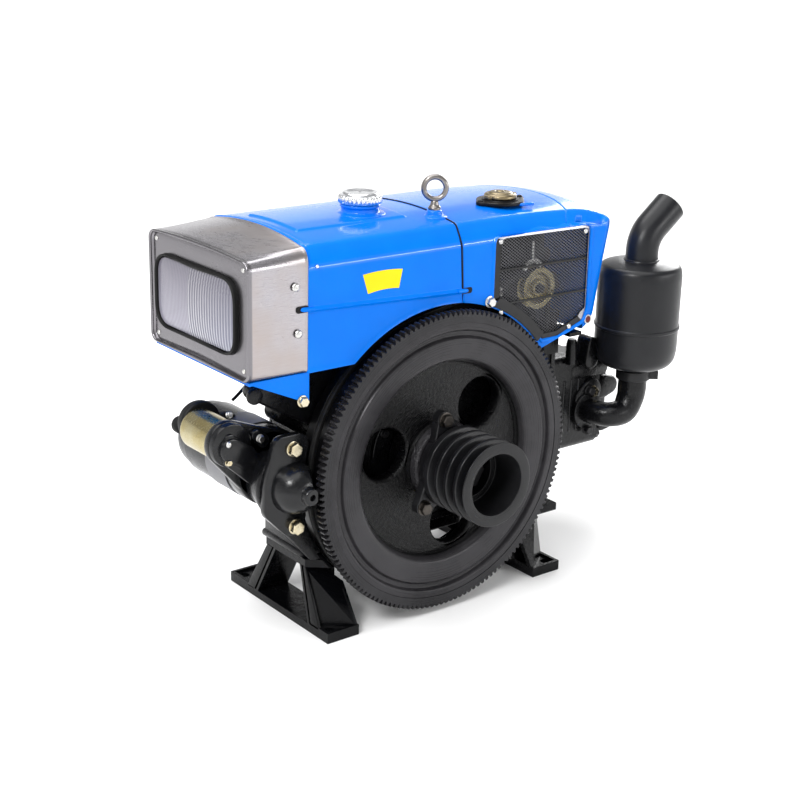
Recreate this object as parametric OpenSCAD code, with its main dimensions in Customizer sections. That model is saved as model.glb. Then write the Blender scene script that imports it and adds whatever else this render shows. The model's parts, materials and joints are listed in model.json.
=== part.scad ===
// Single-cylinder horizontal diesel engine with electric start.
// X runs from the head lamp (-X) to the cylinder head (+X), -Y is the
// flywheel side, +Y the gear side, and Z = 0 is the floor under the feet.
// The origin is the centre of the four foot bolt holes on the floor.

/* [Feet] */
// Distance between the foot bolts along the engine
foot_pitch_x = 426; // [406:1:446]
// Distance between the foot bolts across the engine
foot_pitch_y = 230; // [218:1:238]
// Radius of the foot bolt holes
foot_hole_r = 7.5; // [5:0.5:9]
// Length of each foot across the engine
foot_len = 265; // [260:1:275]
// Width of each foot along the engine
foot_w = 56; // [50:1:60]
// Thickness of the foot's base flange
foot_base_t = 12; // [9:1:16]

/* [Crankcase] */
// Height of the engine block's underside above the floor
block_z = 112; // [108:1:118]
// Width of the engine block across the engine
block_w = 177; // [170:1:180]
// Height of the top deck that carries tank and radiator
deck_z = 414; // [410:1:420]

/* [Crank train] */
// Height of the crankshaft above the floor
crank_z = 240; // [238:1:246]
// Place of the crankshaft along the engine
crank_x = -20; // [-24:1:-16]
// Radius over the tips of the ring gear
ring_tip_r = 230; // [226:0.5:232]
// Number of ring gear teeth
ring_teeth = 156; // [140:1:160]
// Face width of the ring gear
ring_w = 20; // [16:1:24]
// Width of the flywheel rim
rim_w = 68; // [60:1:70]
// Radius of the three lightening holes
light_hole_r = 39; // [34:0.5:40]
// Outer radius of the output pulley
pulley_r = 63; // [60:0.5:68]
// Radius of the open bore of the output pulley
pulley_bore_r = 46; // [40:0.5:48]
// Number of belt grooves on the output pulley
pulley_grooves = 4; // [2:1:4]

/* [Fuel tank and radiator hood] */
// Width of both hoods across the engine
hood_w = 258; // [240:1:270]
// Height of the crown of the hoods above the floor
hood_top = 598; // [594:1:606]
// Height where the side walls turn into the crown
hood_shoulder = 588; // [580:1:590]
// Thickness of the hood's sheet
hood_t = 3; // [2:0.5:4]
// Clear gap between the hood's arch and the flywheel rim
arch_gap = 14; // [8:1:16]

/* [Head lamp] */
// Length of the lamp box along the engine
lamp_len = 97; // [90:1:100]
// Width of the lamp's rubber surround
lamp_ring_w = 218; // [190:1:222]
// Height of the lamp's rubber surround
lamp_ring_h = 112; // [100:1:118]

/* [Fan] */
// Radius over the fan's blades
fan_r = 66; // [60:1:68]
// Number of fan blades
fan_blades = 6; // [4:1:8]

/* [Exhaust] */
// Radius of the silencer's body
silencer_r = 67; // [58:1:70]
// Radius of the exhaust pipe
pipe_r = 23; // [18:0.5:25]

/* [Hidden] */
$fn = 48;

// Feet
foot_hole_in = 13;                  // bolt holes stand this far before the foot's middle
foot_x = foot_pitch_x / 2 - foot_hole_in;
leg_t = 9;                          // thickness of the leg plates

// Planes that the sub-parts share
face_y = -143;                      // front face of the flywheel
rim_back_y = face_y + rim_w;        // back of the flywheel
block_y0 = rim_back_y + 13;         // block wall behind the flywheel
block_y1 = block_y0 + block_w;      // block wall under the gear cover
block_x0 = crank_x - 145;           // front wall of the crankcase
block_x1 = crank_x + 282;           // joint face of the cylinder head
head_x1 = block_x1 + 110;           // joint face of the rocker cover
head_y = (block_y0 + block_y1) / 2; // middle of the cylinder head
core_h = 168;                       // height of the radiator

// Hoods: the near wall stands just behind the ring gear
hood_y0 = face_y + ring_w + 2;
hood_y1 = hood_y0 + hood_w;
hood_y = (hood_y0 + hood_y1) / 2;
hood_side = hood_shoulder - 22;     // where the upright side walls end
tank_x0 = crank_x - 238;            // front end of the fuel tank
seam_x = crank_x + 28;              // joint between tank and radiator hood
bead_z = deck_z + 83;               // pressed bead along both side walls
lamp_x0 = tank_x0 - lamp_len;       // front rim of the lamp box
lamp_top = hood_top - 15;           // top of the lamp's front rim
lamp_y = hood_y + 6;                // middle of the lamp's glass
lamp_z = deck_z + 82;
cap_x = crank_x - 75;               // fuel filler
cap_y = -14;
cap_r = 32;
eye_x = crank_x + 20;               // lifting eye bolt
eye_y = -66;
eye_z = hood_top + 36;              // middle of the eye's ring
eye_r = 16;
eye_tube = 4.2;
filler_x = crank_x + 160;           // radiator filler
filler_y = -50;

// Crank train, worked out from the ring gear
ring_seat_r = ring_tip_r - 18;      // seat of the ring gear
rim_r = ring_tip_r - 8;             // flywheel rim behind the ring gear
belt_seat_r = rim_r - 9;            // bottom of the belt groove in the rim
arch_r = rim_r + arch_gap;          // arch of the hoods over the rim
shaft_r = 28;                       // crankshaft journal
light_pitch_r = 105;                // circle of the lightening holes
lug_pitch_r = 76;                   // circle of the pulley's bolts
pulley_y0 = face_y - 108;           // front face of the output pulley

// Fan
fan_x = crank_x + 197;
fan_z = crank_z + ring_tip_r;
fan_pulley_r = 32;
belt_y = face_y + 44;               // middle of the fan belt
belt_t = 7;                         // thickness of the belt
belt_w = 6.8;

// Starter: its nose stands beside the ring gear
starter_x = crank_x - ring_tip_r - 15;
starter_z = crank_z + 1;
motor_z = starter_z + 13;           // motor axis, over the pinion axis
motor_r = 56;
solenoid_r = 30;
solenoid_x = starter_x - 72;
solenoid_z = motor_z + 50;

// Exhaust
port_x = crank_x + 360;             // exhaust and intake ports
port_z = crank_z - 8;
elbow_r = 20;                       // cast elbow between port and clamp
silencer_x = crank_x + 415;         // upright axis of the silencer
silencer_y = -108;
elbow_bend = 30;                    // level bend, then the bend upwards
elbow_rise = silencer_x - port_x - elbow_bend;
silencer_z0 = port_z + 68;          // underside of the silencer's neck
silencer_z1 = silencer_z0 + 188;    // top of the silencer's body
tail_r = 26;                        // tail pipe above the silencer
tail_lead = 13;                     // straight start of the tail pipe
tail_bend_r = 50;                   // bend radius of the tail pipe
tail_tilt = 52;                     // tilt of its mouth from upright

// ---- Shared helpers ----

// Cylinder along Y from y0 to y1 about the axis (x, z)
module cyl_y(x, z, r, y0, y1) {
    translate([x, y0, z]) rotate([-90, 0, 0]) cylinder(r = r, h = y1 - y0);
}

// Outline drawn in X and Z, given a depth from y0 to y1
module deep_y(y0, y1) {
    translate([0, y1, 0]) rotate([90, 0, 0]) linear_extrude(y1 - y0) children();
}

// Outline drawn in Y and Z, given a length from x0 to x1
module long_x(x0, x1) {
    translate([x0, 0, 0]) rotate([90, 0, 90]) linear_extrude(x1 - x0) children();
}

// Solid of revolution about an axis along Y; the outline is (radius, depth)
module revolve_y(x, z, y0) {
    translate([x, y0, z]) rotate([-90, 0, 0]) rotate_extrude() children();
}

// Rectangle with round corners, about its own centre
module round_rect(w, h, r) {
    square([w - 2 * r, h], center = true);
    square([w, h - 2 * r], center = true);
    for (sx = [-1, 1], sy = [-1, 1])
        translate([sx * (w / 2 - r), sy * (h / 2 - r)]) circle(r = r);
}

// Half of a hood's cross-section: round foot, upright side, round shoulder, shallow crown
function hood_half(w, z0, side, shoulder, top, rx, foot) = concat(
    [for (a = [-90 : 30 : 0]) [w / 2 - foot + foot * cos(a), z0 + foot + foot * sin(a)]],
    [for (a = [0 : 15 : 75]) [w / 2 - rx + rx * cos(a), side + (shoulder - side) * sin(a)]],
    [for (k = [0 : 11]) let (y = (w / 2 - rx) * (1 - k / 12))
        [y, top - (top - shoulder) * pow(1 - k / 12, 2)]],
    [[0, top]]);

// Closed cross-section in Y and Z with its foot at z0
function hood_section(w, z0, side, shoulder, top, rx, foot) =
    let (half = hood_half(w, z0, side, shoulder, top, rx, foot))
    concat(half, [for (k = [len(half) - 2 : -1 : 0]) [-half[k][0], half[k][1]]]);

module hood_outline(inset = 0, z0 = deck_z) {
    translate([hood_y, 0]) polygon(hood_section(
        hood_w - 2 * inset, z0, hood_side, hood_shoulder - inset, hood_top - inset, 16, 2));
}

// What the turning flywheel sweeps, with the given clearance
module wheel_room(gap) {
    cyl_y(crank_x, crank_z, ring_tip_r + gap, face_y - 40, face_y + ring_w + gap);
    cyl_y(crank_x, crank_z, rim_r + gap, face_y, rim_back_y + gap);
}

// ---- Castings of the engine ----

module engine_block() {
    color("#1c1d1f") difference() {
        union() {
            deep_y(block_y0, block_y1) polygon([
                [block_x0, block_z + 18], [block_x0 + 18, block_z], [crank_x + 216, block_z],
                [crank_x + 226, block_z + 10], [crank_x + 226, block_z + 38],
                [block_x1, block_z + 46], [block_x1, deck_z],
                [block_x0 + 12, deck_z], [block_x0, deck_z - 12]]);
            translate([block_x0 + 12, block_y0 - 4, deck_z - 12])
                cube([block_x1 - block_x0 - 12, 6, 12]);
            for (y = [block_y0 + 8, block_y0 + 26, block_y1 - 12])
                translate([block_x0 - 6, y, block_z + 64]) cube([8, 6, 146]);
            translate([block_x0 + 6, block_y0 - 4, block_z + 2])
                cube([block_x1 - block_x0 - 70, 6, 10]);
            for (x = [block_x1 - 60, block_x1 - 36, block_x1 - 12])
                translate([x, block_y0 - 4, block_z + 60]) cube([6, 6, deck_z - block_z - 80]);
        }
        cyl_y(crank_x, crank_z, shaft_r + 0.06, block_y0 - 1, block_y0 + 40);
    }
}

module oil_sump() {
    color("#1c1d1f") translate([crank_x + 10, (block_y0 + block_y1) / 2, block_z - 28])
        linear_extrude(28) round_rect(220, block_w - 30, 18);
}

module main_bearing_cover() {
    color("#232427") difference() {
        cyl_y(crank_x, crank_z, 84, block_y0 - 6, block_y0);
        cyl_y(crank_x, crank_z, shaft_r + 12, block_y0 - 7, block_y0 + 1);
    }
}

module gear_cover() {
    color("#1c1d1f") {
        deep_y(block_y1, block_y1 + 44) hull() {
            translate([crank_x - 70, crank_z - 40]) circle(r = 62);
            translate([crank_x + 100, crank_z - 35]) circle(r = 66);
            translate([crank_x + 30, crank_z + 70]) circle(r = 56);
        }
        for (p = [[-118, 0], [-96, -90], [20, -96], [130, -90], [156, 12], [76, 104], [-18, 98]])
            cyl_y(crank_x + p[0], crank_z + p[1], 10, block_y1, block_y1 + 14);
    }
}

module starting_boss() {
    color("#2a2b2e") {
        cyl_y(crank_x + 20, crank_z + 60, 30, block_y1 + 44, block_y1 + 62);
        cyl_y(crank_x + 20, crank_z + 60, 16, block_y1 + 62, block_y1 + 76);
    }
}

module injection_pump() {
    color("#8f9296") {
        translate([crank_x + 80, block_y1 + 44, crank_z - 10]) cube([44, 34, 60]);
        translate([crank_x + 102, block_y1 + 61, crank_z + 49]) cylinder(r = 13, h = 46);
    }
}

module oil_filler() {
    color("#232427") {
        cyl_y(crank_x - 68, crank_z - 35, 17, block_y1 + 44, block_y1 + 58);
        cyl_y(crank_x - 68, crank_z - 35, 21, block_y1 + 58, block_y1 + 68);
    }
}

module front_cover() {
    color("#232427") translate([block_x0, block_y0 + 104, crank_z + 10]) rotate([0, -90, 0])
        linear_extrude(9) round_rect(130, 110, 14);
}

module cylinder_head() {
    color("#1c1d1f") {
        long_x(block_x1, head_x1) translate([head_y, block_z + 127]) round_rect(165, 146, 14);
        long_x(block_x1, head_x1 - 44) translate([head_y, block_z + 196]) round_rect(165, 40, 10);
        for (z = [port_z - 36, port_z + 36])
            cyl_y(head_x1 - 14, z, 8, head_y - 88, head_y - 80);
    }
}

module rocker_cover() {
    color("#18191b") {
        long_x(head_x1, head_x1 + 8) translate([head_y + 5, block_z + 127]) round_rect(121, 134, 20);
        long_x(head_x1 + 8, head_x1 + 40) translate([head_y + 5, block_z + 127]) round_rect(105, 118, 18);
    }
}

// ---- Feet ----

// A leaning plate from its nose (front edge) to its tail (back edge), both given
// as [foot, head] places across the engine
module leg_plate(nose, tail) {
    hull() for (end = [[-foot_w / 2, nose], [foot_w / 2 - 3, tail]]) {
        translate([end[0], end[1][0] - leg_t / 2, foot_base_t - 1]) cube([3, leg_t, 1]);
        translate([end[0], end[1][1] - leg_t / 2, block_z - foot_base_t]) cube([3, leg_t, 1]);
    }
}

module foot_plain() {
    difference() {
        union() {
            translate([-foot_w / 2, -foot_len / 2, 0]) cube([foot_w, foot_len, foot_base_t]);
            for (s = [0, 1]) mirror([0, s, 0]) difference() {
                translate([-foot_w / 2, -foot_len / 2, foot_base_t - 1]) cube([foot_w, 50, 5]);
                translate([-foot_w / 2 + 5, -foot_len / 2 + 5, foot_base_t - 2])
                    cube([foot_w - 10, 60, 14]);
            }
            leg_plate([-85, -64], [-85, -64]);
            leg_plate([-85, -64], [-126, -66]);
            leg_plate([60, 9], [60, 9]);
            leg_plate([60, 9], [122, 30]);
            translate([-foot_w / 2, -119, block_z - foot_base_t]) cube([foot_w, 149, foot_base_t]);
            translate([foot_w / 2 - 1, -58, block_z - foot_base_t]) cube([48, 100, foot_base_t]);
        }
        for (sy = [-1, 1])
            translate([-foot_hole_in, sy * foot_pitch_y / 2, -1]) cylinder(r = foot_hole_r, h = 30);
    }
}

module front_foot() {
    color("#141517") difference() {
        translate([-foot_x, 0, 0]) foot_plain();
        wheel_room(6);
    }
}

module rear_foot() {
    color("#141517") difference() {
        translate([foot_x, 0, 0]) mirror([1, 0, 0]) foot_plain();
        wheel_room(6);
    }
}

// ---- Fuel tank ----

module tank_arch() {
    cyl_y(crank_x, crank_z, arch_r, hood_y0 - 5, block_y0);
}

module fuel_tank() {
    color("#0a7cf0") difference() {
        union() {
            long_x(tank_x0, seam_x) hood_outline();
            for (y = [hood_y0, hood_y1])
                translate([tank_x0, y, bead_z]) rotate([0, 90, 0]) cylinder(r = 3.5, h = seam_x - tank_x0);
            long_x(tank_x0 + 25, seam_x - 53) intersection() {
                hood_outline(-1.8);
                translate([hood_y - 63, hood_side]) square([121, 60]);
            }
        }
        tank_arch();
    }
}

module filler_neck() {
    color("#0a7cf0") difference() {
        translate([cap_x, cap_y, hood_top - 12]) cylinder(r = cap_r - 5, h = 27.7);
        translate([cap_x, cap_y, hood_top + 4]) cylinder(r = cap_r - 10, h = 30);
        long_x(cap_x - 60, cap_x + 60) hood_outline(-1.8);
    }
}

module fuel_cap() {
    color("#c9ccd0") translate([cap_x, cap_y, hood_top + 16]) difference() {
        union() {
            cylinder(r = cap_r, h = 11);
            cylinder(r = cap_r - 5, h = 16);
        }
        for (k = [0 : 11])
            rotate([0, 0, 30 * k + 15]) translate([cap_r + 3, 0, -1]) cylinder(r = 5, h = 13);
    }
}

// ---- Radiator and its hood ----

// Side outline of the radiator hood in X and Z
module hood_side_outline(inset = 0) {
    offset(delta = -inset) polygon([
        [seam_x - 20, deck_z - 36], [crank_x + 190, deck_z - 36], [crank_x + 293, deck_z - 24],
        [crank_x + 303, deck_z - 10], [crank_x + 309, deck_z + 4], [crank_x + 325, deck_z + 85],
        [crank_x + 336, hood_side - 10], [crank_x + 335, hood_side + 4],
        [crank_x + 330, hood_side + 12], [crank_x + 320, hood_side + 17], [crank_x + 300, hood_shoulder + 2],
        [crank_x + 270, hood_top - 3], [crank_x + 190, hood_top + 1], [seam_x - 20, hood_top + 1]]);
}

// Outline of the grille opening in X and Z
module grille_outline(grow = 0) {
    offset(delta = grow) difference() {
        polygon([[crank_x + 90, deck_z - 20], [crank_x + 227, deck_z - 20], [crank_x + 274, deck_z - 2],
                 [crank_x + 282, deck_z + 12], [crank_x + 279, deck_z + 140], [crank_x + 272, deck_z + 147],
                 [crank_x + 98, deck_z + 149], [crank_x + 90, deck_z + 141]]);
        translate([crank_x, crank_z]) circle(r = arch_r + 12);
    }
}

module radiator_hood() {
    color("#0a7cf0") difference() {
        union() {
            intersection() {
                long_x(seam_x, crank_x + 350) hood_outline(0, deck_z - 44);
                deep_y(hood_y0 - 1, hood_y1 + 1) hood_side_outline();
            }
            deep_y(hood_y0 - 2, hood_y0 + 1) difference() {
                grille_outline(5);
                grille_outline(0);
            }
        }
        intersection() {
            long_x(seam_x - 1, crank_x + 350) hood_outline(hood_t, deck_z - 114);
            deep_y(hood_y0, hood_y1) hood_side_outline(hood_t);
        }
        translate([seam_x - 1, hood_y0 + hood_t, deck_z - 54]) cube([262, hood_w - 2 * hood_t, 60]);
        tank_arch();
        deep_y(hood_y0 - 3, hood_y0 + hood_t + 1) grille_outline();
        for (k = [0 : 5])
            translate([crank_x + 100, hood_y1 - 10, deck_z + 26 + 19 * k]) cube([150, 20, 9]);
        translate([filler_x, filler_y, hood_side - 10]) cylinder(r = 33, h = 60);
    }
}

module radiator_core() {
    color("#3b3a36") {
        translate([crank_x + 82, -35, deck_z]) cube([188, 70, core_h - 26]);
        translate([crank_x + 82, -84, deck_z + core_h - 26]) cube([188, 119, 26]);
    }
}

module radiator_neck() {
    color("#1b1c1e") translate([filler_x, filler_y, 0]) {
        translate([0, 0, deck_z + core_h]) cylinder(r = 29, h = hood_top + 2 - deck_z - core_h);
        difference() {
            translate([0, 0, hood_side]) {
                cylinder(r = 36, h = hood_top + 5 - hood_side);
                for (s = [-1, 1]) translate([34 * s, 0, 0]) cylinder(r = 9, h = hood_top + 4 - hood_side);
            }
            translate([-filler_x, -filler_y, 0]) long_x(filler_x - 60, filler_x + 60) hood_outline();
        }
    }
}

module radiator_cap() {
    color("#7d6a45") translate([filler_x, filler_y, hood_top + 5.3]) {
        cylinder(r = 25, h = 9);
        cylinder(r = 18, h = 12);
        for (s = [-1, 1]) translate([22 * s - 8, -7, 0]) cube([16, 14, 7]);
    }
}

module grille_frame() {
    color("#b9bcc0") deep_y(hood_y0 + hood_t, hood_y0 + hood_t + 4) {
        difference() {
            grille_outline(3);
            grille_outline(-6);
        }
        intersection() {
            grille_outline(-3);
            for (z = [deck_z + 45, deck_z + 98]) translate([crank_x + 80, z]) square([210, 5]);
        }
    }
}

module grille_mesh() {
    color("#26272a") deep_y(hood_y0 + hood_t + 4, hood_y0 + hood_t + 5.2) {
        difference() {
            grille_outline(3);
            grille_outline(-4);
        }
        intersection() {
            grille_outline(0);
            for (k = [-14 : 14], s = [-1, 1])
                translate([crank_x + 186 + 22 * k, deck_z + 66]) rotate(s * 35) square([2.4, 400], center = true);
        }
    }
}

module hood_bracket() {
    color("#141517") long_x(block_x1 - 26, block_x1) polygon([
        [block_y0 - 6, deck_z - 70], [block_y0 - 4, deck_z - 70], [block_y0 - 4, deck_z - 22],
        [hood_y0 + hood_t, deck_z - 22], [hood_y0 + hood_t, deck_z - 28], [block_y0 - 6, deck_z - 28]]);
}

// ---- Fan and its belt ----

module fan_post() {
    color("#2a2b2e") {
        translate([fan_x - 12, block_y0 + 2, deck_z]) cube([24, 16, fan_z - deck_z]);
        cyl_y(fan_x, fan_z, 16, block_y0 + 2, block_y0 + 18);
    }
}

module fan_rotor() {
    color("#b08d3a") {
        cyl_y(fan_x, fan_z, 15, belt_y + 8, block_y0 + 1.7);
        for (k = [0 : fan_blades - 1])
            translate([fan_x, belt_y + 18, fan_z]) rotate([0, 360 / fan_blades * k, 0])
                translate([12, 0, 0]) rotate([32, 0, 0]) translate([0, -1, -14]) cube([fan_r - 13, 2, 28]);
    }
}

module fan_pulley() {
    color("#c79a3c") revolve_y(fan_x, fan_z, belt_y - 8) polygon([
        [0, 0], [fan_pulley_r, 0], [fan_pulley_r, 1], [fan_pulley_r - 8, 4.5], [fan_pulley_r - 8, 11.5],
        [fan_pulley_r, 15], [fan_pulley_r, 15.9], [0, 15.9]]);
}

module belt_loop(r_wheel, r_fan) {
    hull() {
        translate([crank_x, crank_z]) circle(r = r_wheel, $fn = 144);
        translate([fan_x, fan_z]) circle(r = r_fan, $fn = 48);
    }
}

module fan_belt() {
    color("#111214") deep_y(belt_y - belt_w / 2, belt_y + belt_w / 2) difference() {
        belt_loop(belt_seat_r + 0.8 + belt_t, fan_pulley_r - 7.4 + belt_t);
        belt_loop(belt_seat_r + 0.8, fan_pulley_r - 7.4);
    }
}

// ---- Lifting eye ----

module lifting_eye() {
    color("#9a9da1") difference() {
        translate([eye_x, eye_y, 0]) {
            translate([0, 0, hood_side]) cylinder(r = 13, h = hood_top + 9 - hood_side);
            translate([0, 0, hood_top + 8]) cylinder(r1 = 10, r2 = 5, h = 12);
            translate([0, 0, eye_z]) rotate([90, 0, -34]) rotate_extrude()
                translate([eye_r, 0]) circle(r = eye_tube, $fn = 20);
        }
        long_x(eye_x - 40, seam_x + 20) hood_outline();
    }
}

// ---- Head lamp ----

// The lamp's box between its front rim and the tank, drawn in by the inset
module lamp_form(inset) {
    hull() {
        long_x(lamp_x0 + (inset > 0 ? -1 : 0), lamp_x0 + 1) lamp_front(inset);
        long_x(tank_x0 - 1, tank_x0 + (inset > 0 ? 1 : 0)) translate([hood_y, 0]) polygon(hood_section(
            hood_w - 2 * inset, deck_z + inset, hood_shoulder - 18, hood_shoulder - inset, hood_top + 1 - inset,
            17, 6));
    }
}

// Front outline of the lamp's box in Y and Z
module lamp_front(inset) {
    translate([hood_y, 0]) polygon(hood_section(
        hood_w + 4 - 2 * inset, deck_z + inset, lamp_top - 17, lamp_top - 4 - inset,
        lamp_top - inset, 16 - inset, 13 - inset));
}

module lamp_box() {
    color("#a9abae") {
        difference() {
            lamp_form(0);
            lamp_form(2);
        }
        long_x(lamp_x0, lamp_x0 + 3) difference() {
            lamp_front(0);
            lamp_front(6);
        }
    }
}

module lamp_bezel() {
    color("#8e9194") difference() {
        intersection() {
            lamp_form(2);
            long_x(lamp_x0 + 5, lamp_x0 + 7) translate([hood_y - 200, deck_z - 14]) square([400, 300]);
        }
        long_x(lamp_x0 + 4, lamp_x0 + 8) translate([lamp_y, lamp_z]) round_rect(lamp_ring_w, lamp_ring_h, 26);
    }
}

module lamp_gasket() {
    color("#121314") long_x(lamp_x0 + 1, lamp_x0 + 9) translate([lamp_y, lamp_z]) difference() {
        round_rect(lamp_ring_w - 0.1, lamp_ring_h - 0.1, 26);
        round_rect(lamp_ring_w - 16, lamp_ring_h - 16, 20);
    }
}

module lamp_glass() {
    color("#dfe6ea") hull() {
        long_x(lamp_x0 + 6, lamp_x0 + 9) translate([lamp_y, lamp_z])
            round_rect(lamp_ring_w - 16.1, lamp_ring_h - 16.1, 20);
        long_x(lamp_x0 + 1, lamp_x0 + 2) translate([lamp_y, lamp_z])
            round_rect(lamp_ring_w - 60, lamp_ring_h - 50, 20);
    }
}

module lamp_reflector() {
    color("#d8dadc") difference() {
        hull() {
            long_x(lamp_x0 + 9, lamp_x0 + 10) translate([lamp_y, lamp_z])
                round_rect(lamp_ring_w - 4, lamp_ring_h - 4, 24);
            long_x(lamp_x0 + 50, lamp_x0 + 52) translate([lamp_y, lamp_z]) round_rect(120, 60, 20);
        }
        hull() {
            long_x(lamp_x0 + 8.9, lamp_x0 + 10) translate([lamp_y, lamp_z])
                round_rect(lamp_ring_w - 14, lamp_ring_h - 14, 20);
            long_x(lamp_x0 + 45, lamp_x0 + 48) translate([lamp_y, lamp_z]) round_rect(110, 50, 18);
        }
    }
}

module tank_bracket() {
    color("#0a6ad0") {
        translate([lamp_x0 + 6, hood_y0 + 4, deck_z - 5]) cube([lamp_len, hood_w - 8, 5]);
        translate([tank_x0, block_y0 + 2, deck_z - 5]) cube([block_x0 - tank_x0, block_w - 10, 5]);
        translate([block_x0 - 6, block_y0 + 2, deck_z - 80]) cube([6, block_w - 10, 80]);
        for (y = [hood_y0 + 4, hood_y1 - 8])
            deep_y(y, y + 4) polygon([[lamp_x0 + 10, deck_z - 4], [tank_x0 + 6, deck_z - 4],
                                      [tank_x0 + 6, deck_z - 46]]);
    }
}

// ---- Crank train ----

module crankshaft() {
    color("#6c6e71") {
        cyl_y(crank_x, crank_z, shaft_r, face_y - 34, block_y0 + 38);
        cyl_y(crank_x, crank_z, shaft_r + 8, rim_back_y, rim_back_y + 7);
        translate([crank_x, face_y - 34, crank_z]) rotate([90, 0, 0]) cylinder(r = 27, h = 14, $fn = 6);
    }
}

module flywheel() {
    color("#3a3c40") difference() {
        revolve_y(crank_x, crank_z, face_y) polygon([
            [shaft_r + 0.03, 2], [62, 2], [62, 22], [ring_seat_r - 64, 22], [ring_seat_r - 56, 4],
            [ring_seat_r - 20, 1], [ring_seat_r - 18, 8], [ring_seat_r - 11, 8], [ring_seat_r - 9, 0],
            [ring_seat_r, 0], [ring_seat_r, ring_w], [rim_r, ring_w], [rim_r, 36],
            [belt_seat_r, 40], [belt_seat_r, 48], [rim_r, 52], [rim_r, rim_w],
            [ring_seat_r - 52, rim_w], [ring_seat_r - 56, 44], [66, 44], [62, rim_w],
            [shaft_r + 0.03, rim_w]]);
        for (a = [45, 165, 285])
            cyl_y(crank_x + light_pitch_r * cos(a), crank_z + light_pitch_r * sin(a),
                  light_hole_r, face_y + 10, face_y + 60);
    }
}

// Outline of the ring gear with straight-sided teeth
function tooth_ring() = [for (k = [0 : ring_teeth - 1], p = [[0, 0], [0.36, 0], [0.54, 1], [0.82, 1]])
    let (a = 360 / ring_teeth * (k + p[0]), r = ring_tip_r - 6.5 * (1 - p[1])) [r * cos(a), r * sin(a)]];

module ring_gear() {
    color("#2d2f33") translate([crank_x, 0, crank_z]) deep_y(face_y, face_y + ring_w) difference() {
        polygon(tooth_ring());
        circle(r = ring_seat_r + 0.05);
    }
}

module crank_pulley() {
    color("#232427") difference() {
        union() {
            cyl_y(crank_x, crank_z, pulley_r, pulley_y0, face_y + 2);
            deep_y(face_y - 12, face_y + 2) for (a = [105, 225, 345]) hull() {
                translate([crank_x + lug_pitch_r * cos(a), crank_z + lug_pitch_r * sin(a)]) circle(r = 13);
                translate([crank_x, crank_z]) circle(r = 44);
            }
        }
        for (k = [0 : pulley_grooves - 1])
            revolve_y(crank_x, crank_z, pulley_y0 + 10 + 21 * k)
                polygon([[pulley_r + 1, -7.5], [pulley_r - 12, -4], [pulley_r - 12, 4], [pulley_r + 1, 7.5]]);
        cyl_y(crank_x, crank_z, pulley_bore_r, pulley_y0 - 1, pulley_y0 + 56);
        cyl_y(crank_x, crank_z, 36, pulley_y0 + 55, face_y - 20);
        cyl_y(crank_x, crank_z, shaft_r + 0.03, face_y - 21, face_y + 3);
    }
}

// ---- Starter ----

module starter_bracket() {
    color("#1c1d1f") difference() {
        union() {
            translate([-foot_x - 28, -119, block_z]) cube([block_x0 + foot_x + 28, 155, 12]);
            deep_y(-87, -76) hull() {
                translate([starter_x, starter_z]) circle(r = 52);
                translate([starter_x - 24, block_z]) square([80, 10]);
            }
            translate([block_x0 - 40, -76, block_z]) cube([40, 100, 60]);
        }
        cyl_y(starter_x, starter_z, 45.1, -90, 60);
        wheel_room(6);
        cyl_y(starter_x, motor_z, motor_r + 6, -60, 60);
    }
}

module starter_housing() {
    color("#1f2022") difference() {
        union() {
            deep_y(-99, -87) hull() {
                translate([starter_x, starter_z]) circle(r = 44);
                for (s = [-1, 1]) translate([starter_x, starter_z + 58 * s]) circle(r = 15);
            }
            cyl_y(starter_x, starter_z, 45, -87, -43);
            deep_y(-43, -7) hull() {
                translate([starter_x, motor_z]) circle(r = motor_r - 2);
                translate([solenoid_x, solenoid_z]) circle(r = solenoid_r + 3);
            }
            revolve_y(starter_x, starter_z, -146)
                polygon([[0, 0], [10, 0], [12, 3], [12, 8], [24, 13], [33, 22], [39, 36], [40, 47], [0, 47]]);
        }
        wheel_room(6);
    }
}

module starter_motor() {
    color("#35373a") revolve_y(starter_x, motor_z, -7) polygon([
        [0, 0], [motor_r, 0], [motor_r, 28], [motor_r + 1.5, 29], [motor_r + 1.5, 71], [motor_r, 72],
        [motor_r - 2, 110], [motor_r - 5, 140], [motor_r - 12, 146], [0, 146]]);
}

module starter_solenoid() {
    color("#c7b25a") {
        cyl_y(solenoid_x, solenoid_z, solenoid_r, -7, 42);
        cyl_y(solenoid_x, solenoid_z, solenoid_r - 6, 42, 62);
        cyl_y(solenoid_x, solenoid_z, 8, 62, 78);
        cyl_y(solenoid_x, solenoid_z, 14, 78, 92);
    }
}

// ---- Exhaust ----

module exhaust_elbow() {
    color("#1a1b1d") {
        cyl_y(port_x, port_z, 31, head_y - 92, head_y - 82.5);
        cyl_y(port_x, port_z, elbow_r + 0.7, silencer_y + elbow_bend - 3, head_y - 91);
        translate([port_x + elbow_bend, silencer_y + elbow_bend, port_z]) rotate([0, 0, 180])
            rotate_extrude(angle = 90) translate([elbow_bend, 0]) circle(r = elbow_r, $fn = 32);
        translate([port_x + elbow_bend - 3, silencer_y, port_z]) rotate([0, 90, 0])
            cylinder(r = elbow_r + 0.7, h = 6);
        translate([silencer_x - elbow_rise, silencer_y, port_z + elbow_rise]) rotate([90, 90, 0])
            rotate_extrude(angle = 90) translate([elbow_rise, 0]) circle(r = elbow_r, $fn = 32);
        translate([silencer_x, silencer_y, port_z + elbow_rise - 3])
            cylinder(r = pipe_r, h = silencer_z0 - port_z - elbow_rise + 3);
    }
}

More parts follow.
